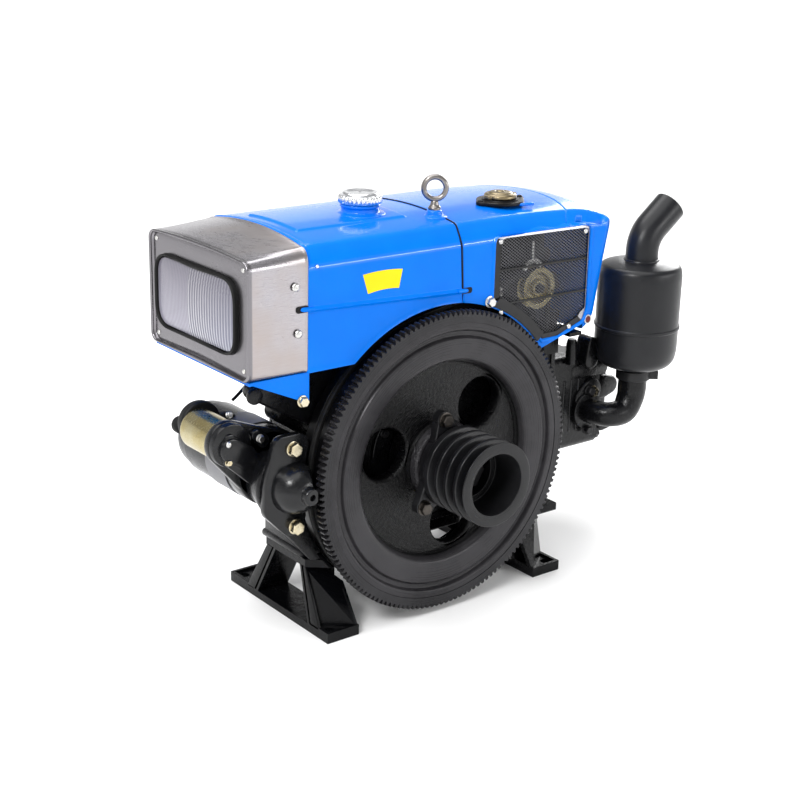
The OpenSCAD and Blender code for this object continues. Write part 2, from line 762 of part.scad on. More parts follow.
module exhaust_clamp() {
    color("#3a3b3d") translate([silencer_x, silencer_y, silencer_z0 - 10]) linear_extrude(16) difference() {
        union() {
            circle(r = pipe_r + 5);
            rotate(-40) translate([pipe_r + 2, -11]) square([17, 22]);
        }
        circle(r = pipe_r + 0.05);
        rotate(-40) translate([pipe_r - 3, -2]) square([40, 4]);
    }
}

module silencer_body() {
    r = silencer_r;
    z = silencer_z0;
    color("#2b2c2f") translate([silencer_x, silencer_y, 0]) rotate_extrude() polygon([
        [0, z], [pipe_r, z], [pipe_r, z + 10], [r * 0.52, z + 11], [r * 0.76, z + 15], [r * 0.91, z + 23],
        [r * 0.98, z + 33], [r, z + 44], [r, z + 78], [r + 2, z + 80], [r + 2, z + 83], [r, z + 85],
        [r, silencer_z1 - 20], [r * 0.97, silencer_z1 - 12], [r * 0.9, silencer_z1 - 6],
        [r * 0.6, silencer_z1 - 1], [r * 0.5, silencer_z1], [0, silencer_z1]]);
}

// The bent tail pipe, swelled by grow; its straight ends lap over the bend
module tail_pipe(r, grow = 0) {
    translate([0, 0, -grow]) cylinder(r = r, h = tail_lead + 3 + grow);
    translate([tail_bend_r, 0, tail_lead]) rotate([90, 0, 0]) rotate([0, 0, 180 - tail_tilt])
        rotate_extrude(angle = tail_tilt) translate([tail_bend_r, 0]) circle(r = r - 0.5);
    translate([tail_bend_r * (1 - cos(tail_tilt)), 0, tail_lead + tail_bend_r * sin(tail_tilt)])
        rotate([0, tail_tilt, 0]) translate([0, 0, -4]) cylinder(r = r, h = 51 + grow);
}

module silencer_outlet() {
    color("#232427") translate([silencer_x, silencer_y, silencer_z1]) difference() {
        tail_pipe(tail_r);
        translate([0, 0, 3]) cylinder(r = tail_r - 2.5, h = tail_lead);
        difference() {
            tail_pipe(tail_r - 2.5, 1);
            translate([-50, -50, -2]) cube([100, 100, 5]);
        }
    }
}

module intake_elbow() {
    color("#1a1b1d") {
        cyl_y(port_x, port_z, 26, head_y + 82.5, head_y + 134);
        translate([port_x, head_y + 134, port_z]) cylinder(r = 24, h = 44);
    }
}

module air_cleaner() {
    color("#1d1e20") {
        translate([port_x, head_y + 134, port_z + 44]) cylinder(r = 48, h = 150);
        translate([port_x, head_y + 134, port_z + 194]) cylinder(r = 34, h = 12);
    }
}

engine_block();
oil_sump();
main_bearing_cover();
gear_cover();
starting_boss();
injection_pump();
oil_filler();
front_cover();
cylinder_head();
rocker_cover();
front_foot();
rear_foot();
fuel_tank();
filler_neck();
fuel_cap();
radiator_hood();
radiator_core();
radiator_neck();
radiator_cap();
grille_frame();
grille_mesh();
hood_bracket();
fan_post();
fan_rotor();
fan_pulley();
fan_belt();
lifting_eye();
lamp_box();
lamp_bezel();
lamp_gasket();
lamp_reflector();
lamp_glass();
tank_bracket();
crankshaft();
flywheel();
ring_gear();
crank_pulley();
starter_bracket();
starter_housing();
starter_motor();
starter_solenoid();
exhaust_elbow();
exhaust_clamp();
silencer_body();
silencer_outlet();
intake_elbow();
air_cleaner();
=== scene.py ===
import json
import bmesh
import bpy
import numpy as np
from mathutils import Matrix


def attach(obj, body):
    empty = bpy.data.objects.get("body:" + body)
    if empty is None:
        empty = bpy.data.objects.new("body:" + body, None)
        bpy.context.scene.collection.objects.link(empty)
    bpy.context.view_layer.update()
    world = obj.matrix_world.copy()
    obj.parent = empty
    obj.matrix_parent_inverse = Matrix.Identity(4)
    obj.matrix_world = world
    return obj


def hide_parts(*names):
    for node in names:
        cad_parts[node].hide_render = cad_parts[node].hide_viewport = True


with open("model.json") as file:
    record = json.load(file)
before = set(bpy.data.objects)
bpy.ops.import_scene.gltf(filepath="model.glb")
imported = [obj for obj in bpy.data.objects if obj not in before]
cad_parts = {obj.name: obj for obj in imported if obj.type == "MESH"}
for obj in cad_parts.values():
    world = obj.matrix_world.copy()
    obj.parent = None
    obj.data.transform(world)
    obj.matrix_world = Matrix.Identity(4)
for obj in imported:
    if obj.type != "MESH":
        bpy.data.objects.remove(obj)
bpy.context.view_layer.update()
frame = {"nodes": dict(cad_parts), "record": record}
nodes = frame["nodes"]
slotOf = {part["node"]: part["material_slot"] for part in frame["record"]["subparts"]}
bodyOf = {name: body for body, names in frame["record"]["behaviour"]["bodies"].items() for name in names}
print("frame loaded:", len(nodes), "solids")


class Wire:  # a shader socket that takes + - * ** and < as Math nodes
    def __init__(self, paint, socket):
        self.paint, self.socket = paint, socket

    def math(self, operation, first, second):  # one Math node
        made = self.paint.node("ShaderNodeMath", {"operation": operation}, {0: first, 1: second})
        return Wire(self.paint, made.outputs[0])

    def __add__(self, other): return self.math("ADD", self, other)
    def __radd__(self, other): return self.math("ADD", other, self)
    def __sub__(self, other): return self.math("SUBTRACT", self, other)
    def __rsub__(self, other): return self.math("SUBTRACT", other, self)
    def __mul__(self, other): return self.math("MULTIPLY", self, other)
    def __rmul__(self, other): return self.math("MULTIPLY", other, self)
    def __pow__(self, other): return self.math("POWER", self, other)
    def __lt__(self, other): return self.math("LESS_THAN", self, other)


class Paint:  # one procedural material
    def __init__(self, name, **fixed):
        self.material = bpy.data.materials.new(name)
        self.material.use_nodes = True
        self.tree = self.material.node_tree
        self.shader = self.tree.nodes["Principled BSDF"]
        for label, value in fixed.items():
            self.shader.inputs[label.replace("_", " ")].default_value = value
        self.place = self.node("ShaderNodeTexCoord").outputs["Object"]

    def node(self, kind, settings={}, inputs={}):  # one node: settings first, then its sockets
        made = self.tree.nodes.new(kind)
        for label, value in settings.items():
            if label == "stops":  # colour ramp: (place, grey or colour)
                ramp = made.color_ramp.elements
                while len(ramp) < len(value):
                    ramp.new(1.0)
                for stop, (at, tone) in zip(ramp, value):
                    stop.position = at
                    stop.color = (tone, tone, tone, 1) if np.isscalar(tone) else (*tone, 1)
            else:
                setattr(made, label, value)
        for label, value in inputs.items():
            self.feed(made.inputs[label], value)
        return made

    def feed(self, socket, value):  # a link where the value comes from a node, else a number or colour
        if isinstance(value, Wire):
            value = value.socket
        if isinstance(value, bpy.types.NodeSocket):
            self.tree.links.new(value, socket)
        elif isinstance(value, (tuple, list)) and len(value) == 3 and socket.type == "RGBA":
            socket.default_value = (*value, 1)
        else:
            socket.default_value = value

    def link(self, label, value):  # into the Principled shader
        self.feed(self.shader.inputs[label], value)

    def noise(self, scale, detail, rough=0.5, stretch=(1, 1, 1)):  # 0 to 1, drawn out where stretched
        mapped = self.node("ShaderNodeMapping", {}, {"Vector": self.place, "Scale": stretch})
        made = self.node("ShaderNodeTexNoise", {}, {
            "Vector": mapped.outputs[0], "Scale": scale, "Detail": detail, "Roughness": rough})
        return Wire(self, made.outputs[0])

    def ramp(self, value, low, high):  # (value - low) / (high - low), held between 0 and 1
        made = self.node("ShaderNodeMapRange", {"clamp": True}, {
            "Value": value, "From Min": low, "From Max": high, "To Min": 0.0, "To Max": 1.0})
        return Wire(self, made.outputs[0])

    def blend(self, factor, first, second):  # (1 - factor) first + factor second
        made = self.node("ShaderNodeMix", {"data_type": "RGBA"}, {
            "Factor": factor, 6: first, 7: second})
        return made.outputs[2]

    def bump(self, height, depth, strength, onto=None):  # a relief of this depth, laid on another
        made = self.node("ShaderNodeBump", {}, {
            "Height": height, "Distance": depth, "Strength": strength, **({"Normal": onto} if onto else {})})
        return made.outputs[0]

    def math(self, operation, first, second=0.0):  # an operation that has no sign of its own
        return Wire(self, first).math(operation, first, second)

    def axes(self):  # X, Y and Z in metres
        made = self.node("ShaderNodeSeparateXYZ", {}, {0: self.place})
        return [Wire(self, made.outputs[k]) for k in range(3)]

    def distance(self, x0, z0):  # distance from an axis along Y
        x, _, z = self.axes()
        return ((x - x0) ** 2 + (z - z0) ** 2) ** 0.5


crank = {"x": -20.0, "z": 240.0}  # millimetres, as all sizes below


def glossPaint(name, colour, rough, coat, grain=0.0, grainScale=260, patch=0.12, metal=0.0,
               shine=0.25, crease=()):
    # smooth enamel: small gloss changes, faint orange peel, cast grain where asked
    paint = Paint(name, Metallic=metal, Coat_Roughness=0.07, Specular_IOR_Level=shine)
    cloud = paint.noise(14, 3)
    fine = paint.noise(90, 2)
    dark = tuple(c * (1 - patch) for c in colour)
    light = tuple(min(1.0, c * (1 + patch) + patch * 0.006) for c in colour)
    paint.link("Base Color", paint.blend(paint.ramp(cloud, 0.35, 0.65), dark, light))
    paint.link("Roughness", rough + (fine - 0.5) * 0.16)
    paint.shader.inputs["Coat Weight"].default_value = coat
    if crease:  # lacquer gathers at these heights: folded edge, crown
        z = paint.axes()[2]
        band = [paint.ramp(((z - at) ** 2) ** 0.5, wide, wide * 0.5) * full for at, wide, full in crease]
        paint.link("Coat Weight", sum(band[1:], band[0]))
    peel = paint.bump(paint.noise(420, 1), 0.00012, 0.35)
    if grain:
        coarse = paint.noise(grainScale, 4, 0.6)
        peel = paint.bump(coarse, 0.0012, grain, peel)
    paint.link("Normal", peel)
    return paint.material


def castPaint(name, colour, rough, grain, coat, shine=0.25):
    # thick black enamel over sand casting: lumpy skin, dust in the hollows
    paint = Paint(name, Coat_Roughness=0.12, Specular_IOR_Level=shine)
    lumps = paint.noise(70, 4, 0.6)
    skin = paint.noise(520, 3, 0.7)
    dust = paint.ramp(paint.noise(9, 4, 0.65), 0.5, 0.75)
    grey = tuple(c * 1.9 + 0.006 for c in colour)
    paint.link("Base Color", paint.blend(dust * 0.7, colour, grey))
    paint.link("Roughness", rough + dust * 0.16 + (skin - 0.5) * 0.22)
    paint.shader.inputs["Coat Weight"].default_value = coat
    paint.link("Normal", paint.bump(skin, 0.0006, grain, paint.bump(lumps, 0.0022, grain * 0.8)))
    return paint.material


def brushedMetal(name, colour, rough, stretch, tint=0.0, front=None):
    # long fine scratches: noise drawn out along one direction
    paint = Paint(name, Metallic=1.0)
    lines = paint.noise(60, 3, 0.65, stretch)
    smear = paint.noise(6, 3, 0.6)
    warm = (colour[0] * 0.86, colour[1] * 0.74, colour[2] * 0.6)
    dark = tuple(c * 0.84 for c in colour)
    tone = paint.blend(paint.ramp(lines, 0.3, 0.7), dark, colour)
    if tint:
        tone = paint.blend(paint.ramp(smear, 0.52, 0.72) * tint, tone, warm)
    if front:  # painted shade: the flat front panel behind the rim is darkened to half the colour
        panel = paint.ramp(paint.axes()[0], front + 0.002, front)
        tone = paint.blend(panel, tone, tuple(c * 0.5 for c in colour))
    paint.link("Base Color", tone)
    paint.link("Roughness", rough + (lines - 0.5) * 0.2 + paint.ramp(smear, 0.4, 0.7) * 0.12)
    paint.link("Normal", paint.bump(lines, 0.0002, 0.5))
    return paint.material


def turnedMetal(name, colour, rough, metal, pitch=0.0016, depth=0.5, web=0.0):
    # lathe rings round the crank's axis: noise on the distance from it; inside the web's radius a cast skin
    paint = Paint(name, Metallic=metal, Specular_IOR_Level=0.3)
    radius = paint.distance(crank["x"] / 1000, crank["z"] / 1000)
    rings = Wire(paint, paint.node("ShaderNodeTexNoise", {"noise_dimensions": "1D"}, {
        "W": radius, "Scale": 1 / pitch, "Detail": 3.0}).outputs[0])
    cloud = paint.noise(11, 4, 0.6)
    skin = paint.noise(480, 3, 0.7)
    light = tuple(c * 1.25 + 0.004 for c in colour)
    dark = tuple(c * 0.75 for c in colour)
    behind = paint.ramp(paint.axes()[1], -0.1285, -0.1265)  # about 15 mm behind the wheel's front face the colour turns near black
    tone = paint.blend(paint.ramp(cloud, 0.35, 0.68), dark, light)
    paint.link("Base Color", paint.blend(behind, tone, (0.0016, 0.0016, 0.002)))
    paint.link("Roughness", rough + (rings - 0.5) * 0.25 + (cloud - 0.5) * 0.2)
    onto = paint.bump(skin, 0.0003, depth * 0.5)
    if web:
        inside = paint.ramp(radius, web, web - 0.004)
        onto = paint.bump(paint.noise(210, 3, 0.65) * inside, 0.0028, 0.9, onto)
        rings = rings * (1 - inside)
    paint.link("Normal", paint.bump(rings, 0.0003, depth, onto))
    return paint.material


def zincPlate(name, colour, rough, second):
    # passivated plating: cloudy shift between two metal tones
    paint = Paint(name, Metallic=1.0)
    cloud = paint.noise(35, 4, 0.6)
    fine = paint.noise(300, 2)
    paint.link("Base Color", paint.blend(paint.ramp(cloud, 0.3, 0.7), colour, second))
    paint.link("Roughness", rough + (fine - 0.5) * 0.12)
    paint.link("Normal", paint.bump(fine, 0.0001, 0.08))
    return paint.material


def rubber(name, tone):
    # dull black: a cloudy grey, roughness with it, and a fine skin
    paint = Paint(name, Specular_IOR_Level=0.2)
    cloud = paint.noise(40, 4)
    paint.link("Base Color", paint.blend(cloud, (tone * 0.7,) * 3, (tone * 1.6,) * 3))
    paint.link("Roughness", 0.55 + (cloud - 0.5) * 0.3)
    paint.link("Normal", paint.bump(paint.noise(700, 2), 0.0003, 0.3))
    return paint.material


def lensGlass(name):
    # painted highlights and shade of the ribs: stripes of light and dark from a sine of the place across the
    # lens, two widths side by side
    paint = Paint(name, Transmission_Weight=0.3, IOR=1.46)
    haze = paint.noise(60, 3)
    _, y, z = paint.axes()
    side = y - 0.0267  # fine upright ribs on one side, broad bowed flutes on the other
    fine = paint.ramp(paint.math("SINE", side * (2 * np.pi / 0.0042)), -1, 1)
    bowed = side + (z - 0.496) ** 2 * 0.46
    broad = paint.ramp(paint.math("SINE", bowed * (2 * np.pi / 0.0064)), -0.7, 0.9)
    # painted shade: the lens darkens towards its top
    fall = paint.ramp(z, 0.452, 0.535)
    left = paint.blend(fine, (0.24, 0.23, 0.29), (0.40, 0.39, 0.46))
    right = paint.blend(broad, (0.19, 0.19, 0.24), (0.66, 0.66, 0.72))
    # painted shade: the broad flutes darken towards the near edge
    right = paint.blend(paint.ramp(side, -0.03, -0.11) * 0.6, right, (0.20, 0.21, 0.29))
    glass = paint.blend(side < 0, left, right)
    paint.link("Base Color", paint.blend(fall * 0.7, glass, (0.13, 0.12, 0.15)))
    paint.link("Roughness", 0.10 + haze * 0.06)
    return paint.material


def mirrorMetal(name, colour):
    # bright metal under a faint haze that greys and roughens it
    paint = Paint(name, Metallic=1.0)
    haze = paint.noise(30, 3)
    paint.link("Base Color", paint.blend(haze, tuple(c * 0.9 for c in colour), colour))
    paint.link("Roughness", 0.16 + haze * 0.14)
    return paint.material


finishes = {
    "black_casting": castPaint("blackCasting", (0.0034, 0.0035, 0.0041), 0.25, 0.6, 0.12, 0.17),
    "dark_steel": castPaint("darkSteel", (0.008, 0.008, 0.009), 0.38, 0.25, 0.05, 0.25),
    "bare_aluminium": castPaint("bareAluminium", (0.22, 0.225, 0.235), 0.5, 0.4, 0.0),
    "foot_paint": castPaint("footPaint", (0.0014, 0.0015, 0.002), 0.2, 0.3, 0.06, 0.12),
    "blue_paint": glossPaint("bluePaint", (0.0, 0.138, 0.63), 0.2, 0.0, 0.0, patch=0.05, shine=0.1,
                             crease=((0.560, 0.005, 1.0), (0.625, 0.055, 0.4))),
    "chrome_plate": mirrorMetal("chromePlate", (0.72, 0.73, 0.75)),
    "core_fins": castPaint("coreFins", (0.004, 0.0038, 0.0036), 0.6, 0.3, 0.0, 0.1),
    "black_fitting": castPaint("blackFitting", (0.003, 0.003, 0.0036), 0.3, 0.3, 0.05, 0.15),
    "cap_brass": zincPlate("capBrass", (0.30, 0.24, 0.13), 0.35, (0.16, 0.13, 0.09)),
    "bright_trim": brushedMetal("brightTrim", (0.34, 0.335, 0.355), 0.26, (1, 1, 1)),
    "black_wire": glossPaint("blackWire", (0.13, 0.13, 0.14), 0.34, 0.0, metal=0.8),
    "gold_zinc": zincPlate("goldZinc", (0.36, 0.29, 0.12), 0.26, (0.42, 0.38, 0.24)),
    "belt_rubber": rubber("beltRubber", 0.01),
    "eye_steel": zincPlate("eyeSteel", (0.17, 0.16, 0.155), 0.3, (0.27, 0.25, 0.235)),
    "stainless": brushedMetal("stainless", (0.40, 0.385, 0.41), 0.22, (1, 1, 26), 0.6, front=-0.3478),
    "black_rubber": rubber("blackRubber", 0.0035),
    "reflector_mirror": mirrorMetal("reflectorMirror", (0.42, 0.42, 0.47)),
    "lamp_lens": lensGlass("lampLens"),
    "wheel_iron": turnedMetal("wheelIron", (0.021, 0.020, 0.0225), 0.30, 0.3, web=0.150),
    "ring_steel": turnedMetal("ringSteel", (0.016, 0.0155, 0.0175), 0.30, 0.3),
    "pulley_paint": turnedMetal("pulleyPaint", (0.005, 0.005, 0.006), 0.34, 0.1, 0.003, 0.35),
    "starter_casting": castPaint("starterCasting", (0.0042, 0.0044, 0.0052), 0.2, 0.3, 0.15, 0.25),
    "starter_paint": glossPaint("starterPaint", (0.004, 0.0044, 0.006), 0.26, 0.1, 0.1),
    "silencer_paint": glossPaint("silencerPaint", (0.0052, 0.0056, 0.0072), 0.34, 0.0, 0.12, 700,
                                 shine=0.3),
}
yellowZinc = zincPlate("yellowZincBolt", (0.5, 0.42, 0.26), 0.26, (0.58, 0.54, 0.42))
boltSteel = zincPlate("boltSteel", (0.5, 0.5, 0.5), 0.32, (0.62, 0.61, 0.58))
blackBolt = zincPlate("blackBolt", (0.035, 0.033, 0.032), 0.35, (0.085, 0.075, 0.065))
stickerVinyl = glossPaint("stickerVinyl", (0.74, 0.56, 0.004), 0.35, 0.0, patch=0.04, shine=0.15)
print("finishes made:", len(bpy.data.materials))


# surfaces in millimetres: grids of points, joined to quads
def gridQuads(rows, cols, closeRows=False, closeCols=False):
    # the four corner numbers of each cell; a closed side joins its last line to its first
    r, c = np.meshgrid(np.arange(rows if closeRows else rows - 1),
                       np.arange(cols if closeCols else cols - 1), indexing="ij")
    r, c = r.ravel(), c.ravel()
    r2, c2 = (r + 1) % rows, (c + 1) % cols
    return np.stack([r * cols + c, r2 * cols + c, r2 * cols + c2, r * cols + c2], axis=1)


class Shell:  # gathers surfaces, in millimetres, into one mesh
    def __init__(self):
        self.points, self.faces, self.count = [], [], 0

    def add(self, points, faces):  # faces count from the new points' first
        points = np.asarray(points, float).reshape(-1, 3)
        self.faces += [[int(k) + self.count for k in face] for face in faces]
        self.points.append(points)
        self.count += len(points)

    def grid(self, points, closeRows=False, closeCols=False):  # rows and columns of points
        self.add(points, gridQuads(*points.shape[:2], closeRows, closeCols).tolist())

    def loft(self, sections):  # closed sections one behind another, with a flat face at each end
        rows, cols = np.shape(sections)[:2]
        ends = [list(range(cols)), list(range((rows - 1) * cols, rows * cols))]
        self.add(sections, gridQuads(rows, cols, closeCols=True).tolist() + ends)

    def turned(self, profile, centre, axis, steps, start=0.0, closed=False):  # right round an axis
        self.grid(revolve(profile, centre, axis, steps, start), closeRows=True, closeCols=closed)

    def layOnto(self, place, direction, since):  # what was added since then stands on the place
        for k in range(since, len(self.points)):
            self.points[k] = self.points[k] @ toward(direction).T + place


def makePiece(name, shell, finish, body="engine", replaces=(), bevel=0.0, wall=0.0, sharp=32):
    # one Blender object in metres: doubles merged, faces turned outwards, then its modifiers
    mesh = bpy.data.meshes.new(name)
    mesh.from_pydata((np.concatenate(shell.points) / 1000).tolist(), [], shell.faces)
    work = bmesh.new()
    work.from_mesh(mesh)
    bmesh.ops.remove_doubles(work, verts=work.verts, dist=2e-6)
    bmesh.ops.dissolve_degenerate(work, dist=1e-6, edges=work.edges)
    bmesh.ops.recalc_face_normals(work, faces=work.faces)
    work.to_mesh(mesh)
    work.free()
    mesh.shade_smooth()
    mesh.set_sharp_from_angle(angle=np.radians(sharp))
    mesh.materials.append(finishes[finish] if isinstance(finish, str) else finish)
    piece = bpy.data.objects.new(name, mesh)
    bpy.context.scene.collection.objects.link(piece)
    if wall:
        made = piece.modifiers.new("wall", "SOLIDIFY")
        made.thickness, made.offset = wall / 1000, -1
    if bevel:
        made = piece.modifiers.new("edges", "BEVEL")
        made.width, made.segments, made.angle_limit = bevel / 1000, 2, np.radians(sharp)
        made.harden_normals = True
    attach(piece, body)
    if replaces:
        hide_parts(*replaces)
    return piece


def roundCorners(points, radius, closed, steps):
    # each corner becomes a short curve: (1-t)^2 before + 2t(1-t) corner + t^2 after
    p = np.asarray(points, float)
    before, after = np.roll(p, 1, 0) - p, np.roll(p, -1, 0) - p
    lengthB, lengthA = np.linalg.norm(before, axis=1), np.linalg.norm(after, axis=1)
    cut = np.minimum(np.broadcast_to(radius, len(p)), 0.46 * np.minimum(lengthB, lengthA))
    a = p + before * (cut / lengthB)[:, None]
    b = p + after * (cut / lengthA)[:, None]
    t = np.linspace(0, 1, steps + 1)[None, :, None]
    out = (1 - t) ** 2 * a[:, None] + 2 * t * (1 - t) * p[:, None] + t * t * b[:, None]
    if not closed:
        return np.concatenate([p[:1], out[1:-1].reshape(-1, p.shape[1]), p[-1:]])
    return out.reshape(-1, p.shape[1])


def revolve(profile, centre, axis, steps, start=0.0):
    # radius and depth of each profile point, turned about the axis through the centre
    angle = np.radians(start + np.arange(steps) * 360.0 / steps)[:, None]
    radius, depth = np.asarray(profile, float).T
    across, along = radius * np.cos(angle), radius * np.sin(angle)
    depth = np.broadcast_to(depth, across.shape)
    x, y, z = centre
    if axis == "y":
        return np.stack([x + across, y + depth, z + along], axis=2)
    if axis == "x":
        return np.stack([x + depth, y + across, z + along], axis=2)
    return np.stack([x + across, y + along, z + depth], axis=2)


def smoothPath(points, steps):
    # Catmull-Rom curve through the points: cubic between each pair, tangents from the neighbours
    p = np.asarray(points, float)
    p = np.concatenate([2 * p[:1] - p[1:2], p, 2 * p[-1:] - p[-2:-1]])
    t = np.linspace(0, 1, steps, endpoint=False)[None, :, None]
    a, b, c, d = (p[k:len(p) - 3 + k][:, None] for k in range(4))
    curve = 0.5 * (2 * b + (c - a) * t + (2 * a - 5 * b + 4 * c - d) * t ** 2
                   + (3 * b - a - 3 * c + d) * t ** 3)
    return np.concatenate([curve.reshape(-1, p.shape[1]), p[-2:-1]])


def tube(path, radius, sides, lean):
    # a round section carried along the path, square to it; its first side is square to the lean too
    path = np.asarray(path, float)
    ahead = np.gradient(path, axis=0)
    ahead /= np.linalg.norm(ahead, axis=1)[:, None]
    side = np.cross(ahead, lean)
    side /= np.linalg.norm(side, axis=1)[:, None]
    up = np.cross(ahead, side)
    angle = np.arange(sides) * 2 * np.pi / sides
    radius = np.broadcast_to(radius, len(path))[:, None, None]
    ring = np.cos(angle)[None, :, None] * side[:, None] + np.sin(angle)[None, :, None] * up[:, None]
    return path[:, None] + radius * ring


def castOutline(outline, centre, angle):
    # distance from the centre to the outline along each angle: the nearest crossing of ray and side
    p = np.asarray(outline, float) - centre
    q = np.roll(p, -1, 0)
    ray = np.stack([np.cos(angle), np.sin(angle)], axis=1)[:, None]
    side = (q - p)[None]
    cross = ray[..., 0] * side[..., 1] - ray[..., 1] * side[..., 0]
    cross = np.where(abs(cross) < 1e-12, 1e-12, cross)
    far = (p[None, :, 0] * side[..., 1] - p[None, :, 1] * side[..., 0]) / cross
    along = (p[None, :, 0] * ray[..., 1] - p[None, :, 1] * ray[..., 0]) / cross
    hit = (far > 0) & (along > -1e-9) & (along < 1 + 1e-9)
    return np.where(hit, far, 1e9).min(axis=1)


def roundRect(width, height, radius, steps=8):
    # four corners round the origin; a curve of 1.15 radius comes close to an arc of the radius
    half = np.array([[width, height], [-width, height], [-width, -height], [width, -height]]) / 2
    return roundCorners(half, radius * 1.15, True, steps)


def step(value, low, high):
    # 0 below low, 1 above high, an S-curve between: 3t^2 - 2t^3
    t = np.clip((value - low) / (high - low), 0, 1)
    return t * t * (3 - 2 * t)


def toward(direction):
    # matrix whose Z looks along the direction
    z = np.array(direction, float) / np.linalg.norm(direction)
    x = np.cross([0, 0, 1] if abs(z[2]) < 0.9 else [0, 1, 0], z)
    x /= np.linalg.norm(x)
    return np.column_stack([x, np.cross(z, x), z])


def addBolt(shell, place, direction, size, height, washer=1.35, turn=0.0):
    # washer, hexagon with a rounded top: rows of six corners, the last pulled in
    first = len(shell.points)
    if washer:
        outer = size * washer / 2
        ring = [(0, 0), (outer, 0), (outer, 1.4), (outer * 0.9, 1.9), (0, 1.9)]
        shell.turned(ring, (0, 0, 0), "z", 24)
    corner = size / 2 / np.cos(np.pi / 6)
    base = 1.6 if washer else 0
    hexagon = [(0, base), (corner, base), (corner, base + height * 0.86), (corner * 0.86, base + height),
               (corner * 0.4, base + height), (0, base + height - 0.5)]
    shell.turned(hexagon, (0, 0, 0), "z", 6, turn)
    shell.layOnto(place, direction, first)


def addScrew(shell, place, direction, radius, height):
    # domed head with a dimple in its middle: one profile turned about the screw's axis
    first = len(shell.points)
    dome = [(0, 0), (radius, 0), (radius * 0.98, height * 0.3), (radius * 0.8, height * 0.75),
            (radius * 0.45, height), (radius * 0.16, height * 0.98), (0, height * 0.45)]
    shell.turned(dome, (0, 0, 0), "z", 24)
    shell.layOnto(place, direction, first)


def dressedCopy(node, bevel):
    # the CAD solid with its doubles merged and its edges rounded
    mesh = nodes[node].data.copy()
    work = bmesh.new()
    work.from_mesh(mesh)
    bmesh.ops.remove_doubles(work, verts=work.verts, dist=1e-6)
    bmesh.ops.dissolve_limit(work, angle_limit=0.004, verts=work.verts, edges=work.edges)
    work.to_mesh(mesh)
    work.free()
    mesh.shade_smooth()
    mesh.set_sharp_from_angle(angle=np.radians(32))
    mesh.materials.clear()
    mesh.materials.append(finishes[slotOf[node]])
    piece = bpy.data.objects.new(node + "_dressed", mesh)
    bpy.context.scene.collection.objects.link(piece)
    made = piece.modifiers.new("edges", "BEVEL")
    made.width, made.segments, made.angle_limit = bevel / 1000, 3, np.radians(35)
    made.harden_normals = True
    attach(piece, bodyOf[node])
    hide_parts(node)
    return piece


# Sheet-metal hoods
hood = {"y0": -121.0, "y1": 137.0, "deck": 414.0, "side": 570.0, "shoulder": 588.0, "crown": 598.0,
        "corner": 16.0, "crease": 559.5, "lean": 0.5}
tank = {"x0": -258.0, "x1": 7.4, "arch": 236.0, "beadZ": 503.0, "beadFall": 0.043, "beadR": 3.4,
        "panelX": (-233.0, -45.0), "panelY": (-57.0, 66.0), "panelRise": 2.7, "panelSoft": 2.2,
        "backY": -62.0, "seamLean": 0.07, "seamFrom": 560.0, "seamX": 8.15}
hoodMiddle, hoodHalf = (hood["y0"] + hood["y1"]) / 2, (hood["y1"] - hood["y0"]) / 2
foldLines = np.array([-4.5, -2.4, -1.2, 0, 1.2, 2.4, 4.5])  # grid lines on both sides of a soft fold


def aroundCrank(reach, angle):
    # X and Z at a distance and an angle from the crank's axis
    return np.stack([crank["x"] + reach * np.cos(angle), crank["z"] + reach * np.sin(angle)], 1)


def archHeight(x, radius):
    # lower edge of a side wall: the deck, or the circle over the wheel where that is higher
    over = radius ** 2 - (x - crank["x"]) ** 2
    return np.maximum(hood["deck"], crank["z"] + np.sqrt(np.maximum(over, 0)))


def shoulderIn(z):
    # how far the wall leans in above its crease: lean * 1.1 * ln(1 + e^(height / 1.1))
    return hood["lean"] * np.logaddexp(0, (z - hood["crease"]) / 1.1) * 1.1


def crownSection(count=28):
    # from the near wall's upper edge over the top to the far one: leaning strip, small bend, parabola
    flat = hoodHalf - hood["corner"]
    near = np.array(tank["panelY"])[:, None] - hoodMiddle + foldLines
    y = np.sort(np.concatenate([np.linspace(12 - flat, flat - 12, count), near.ravel()]))
    fall = (hood["crown"] - hood["shoulder"]) / flat ** 2
    left = roundCorners([[-hoodHalf + shoulderIn(hood["side"]), hood["side"]],
                         [-hoodHalf + 15.2, hood["shoulder"] - 0.4],
                         [y[0], hood["crown"] - fall * y[0] ** 2]], [0, 9, 0], False, 7)[:-1]
    top = np.stack([y, hood["crown"] - fall * y ** 2], axis=1)
    return np.concatenate([left, top, left[::-1] * [-1, 1]]) + [hoodMiddle, 0]


def between(value, limits, soft):
    # 1 between the two limits and 0 outside them, with an S-curve at each
    low, high = limits
    return step(value, low - soft, low + soft) * step(-value, -high - soft, -high + soft)


def seamShift(z):
    # how far the seam's edge leans back: lean times the depth below its start, down to 150
    return tank["seamLean"] * np.clip(tank["seamFrom"] - z, 0, 150)


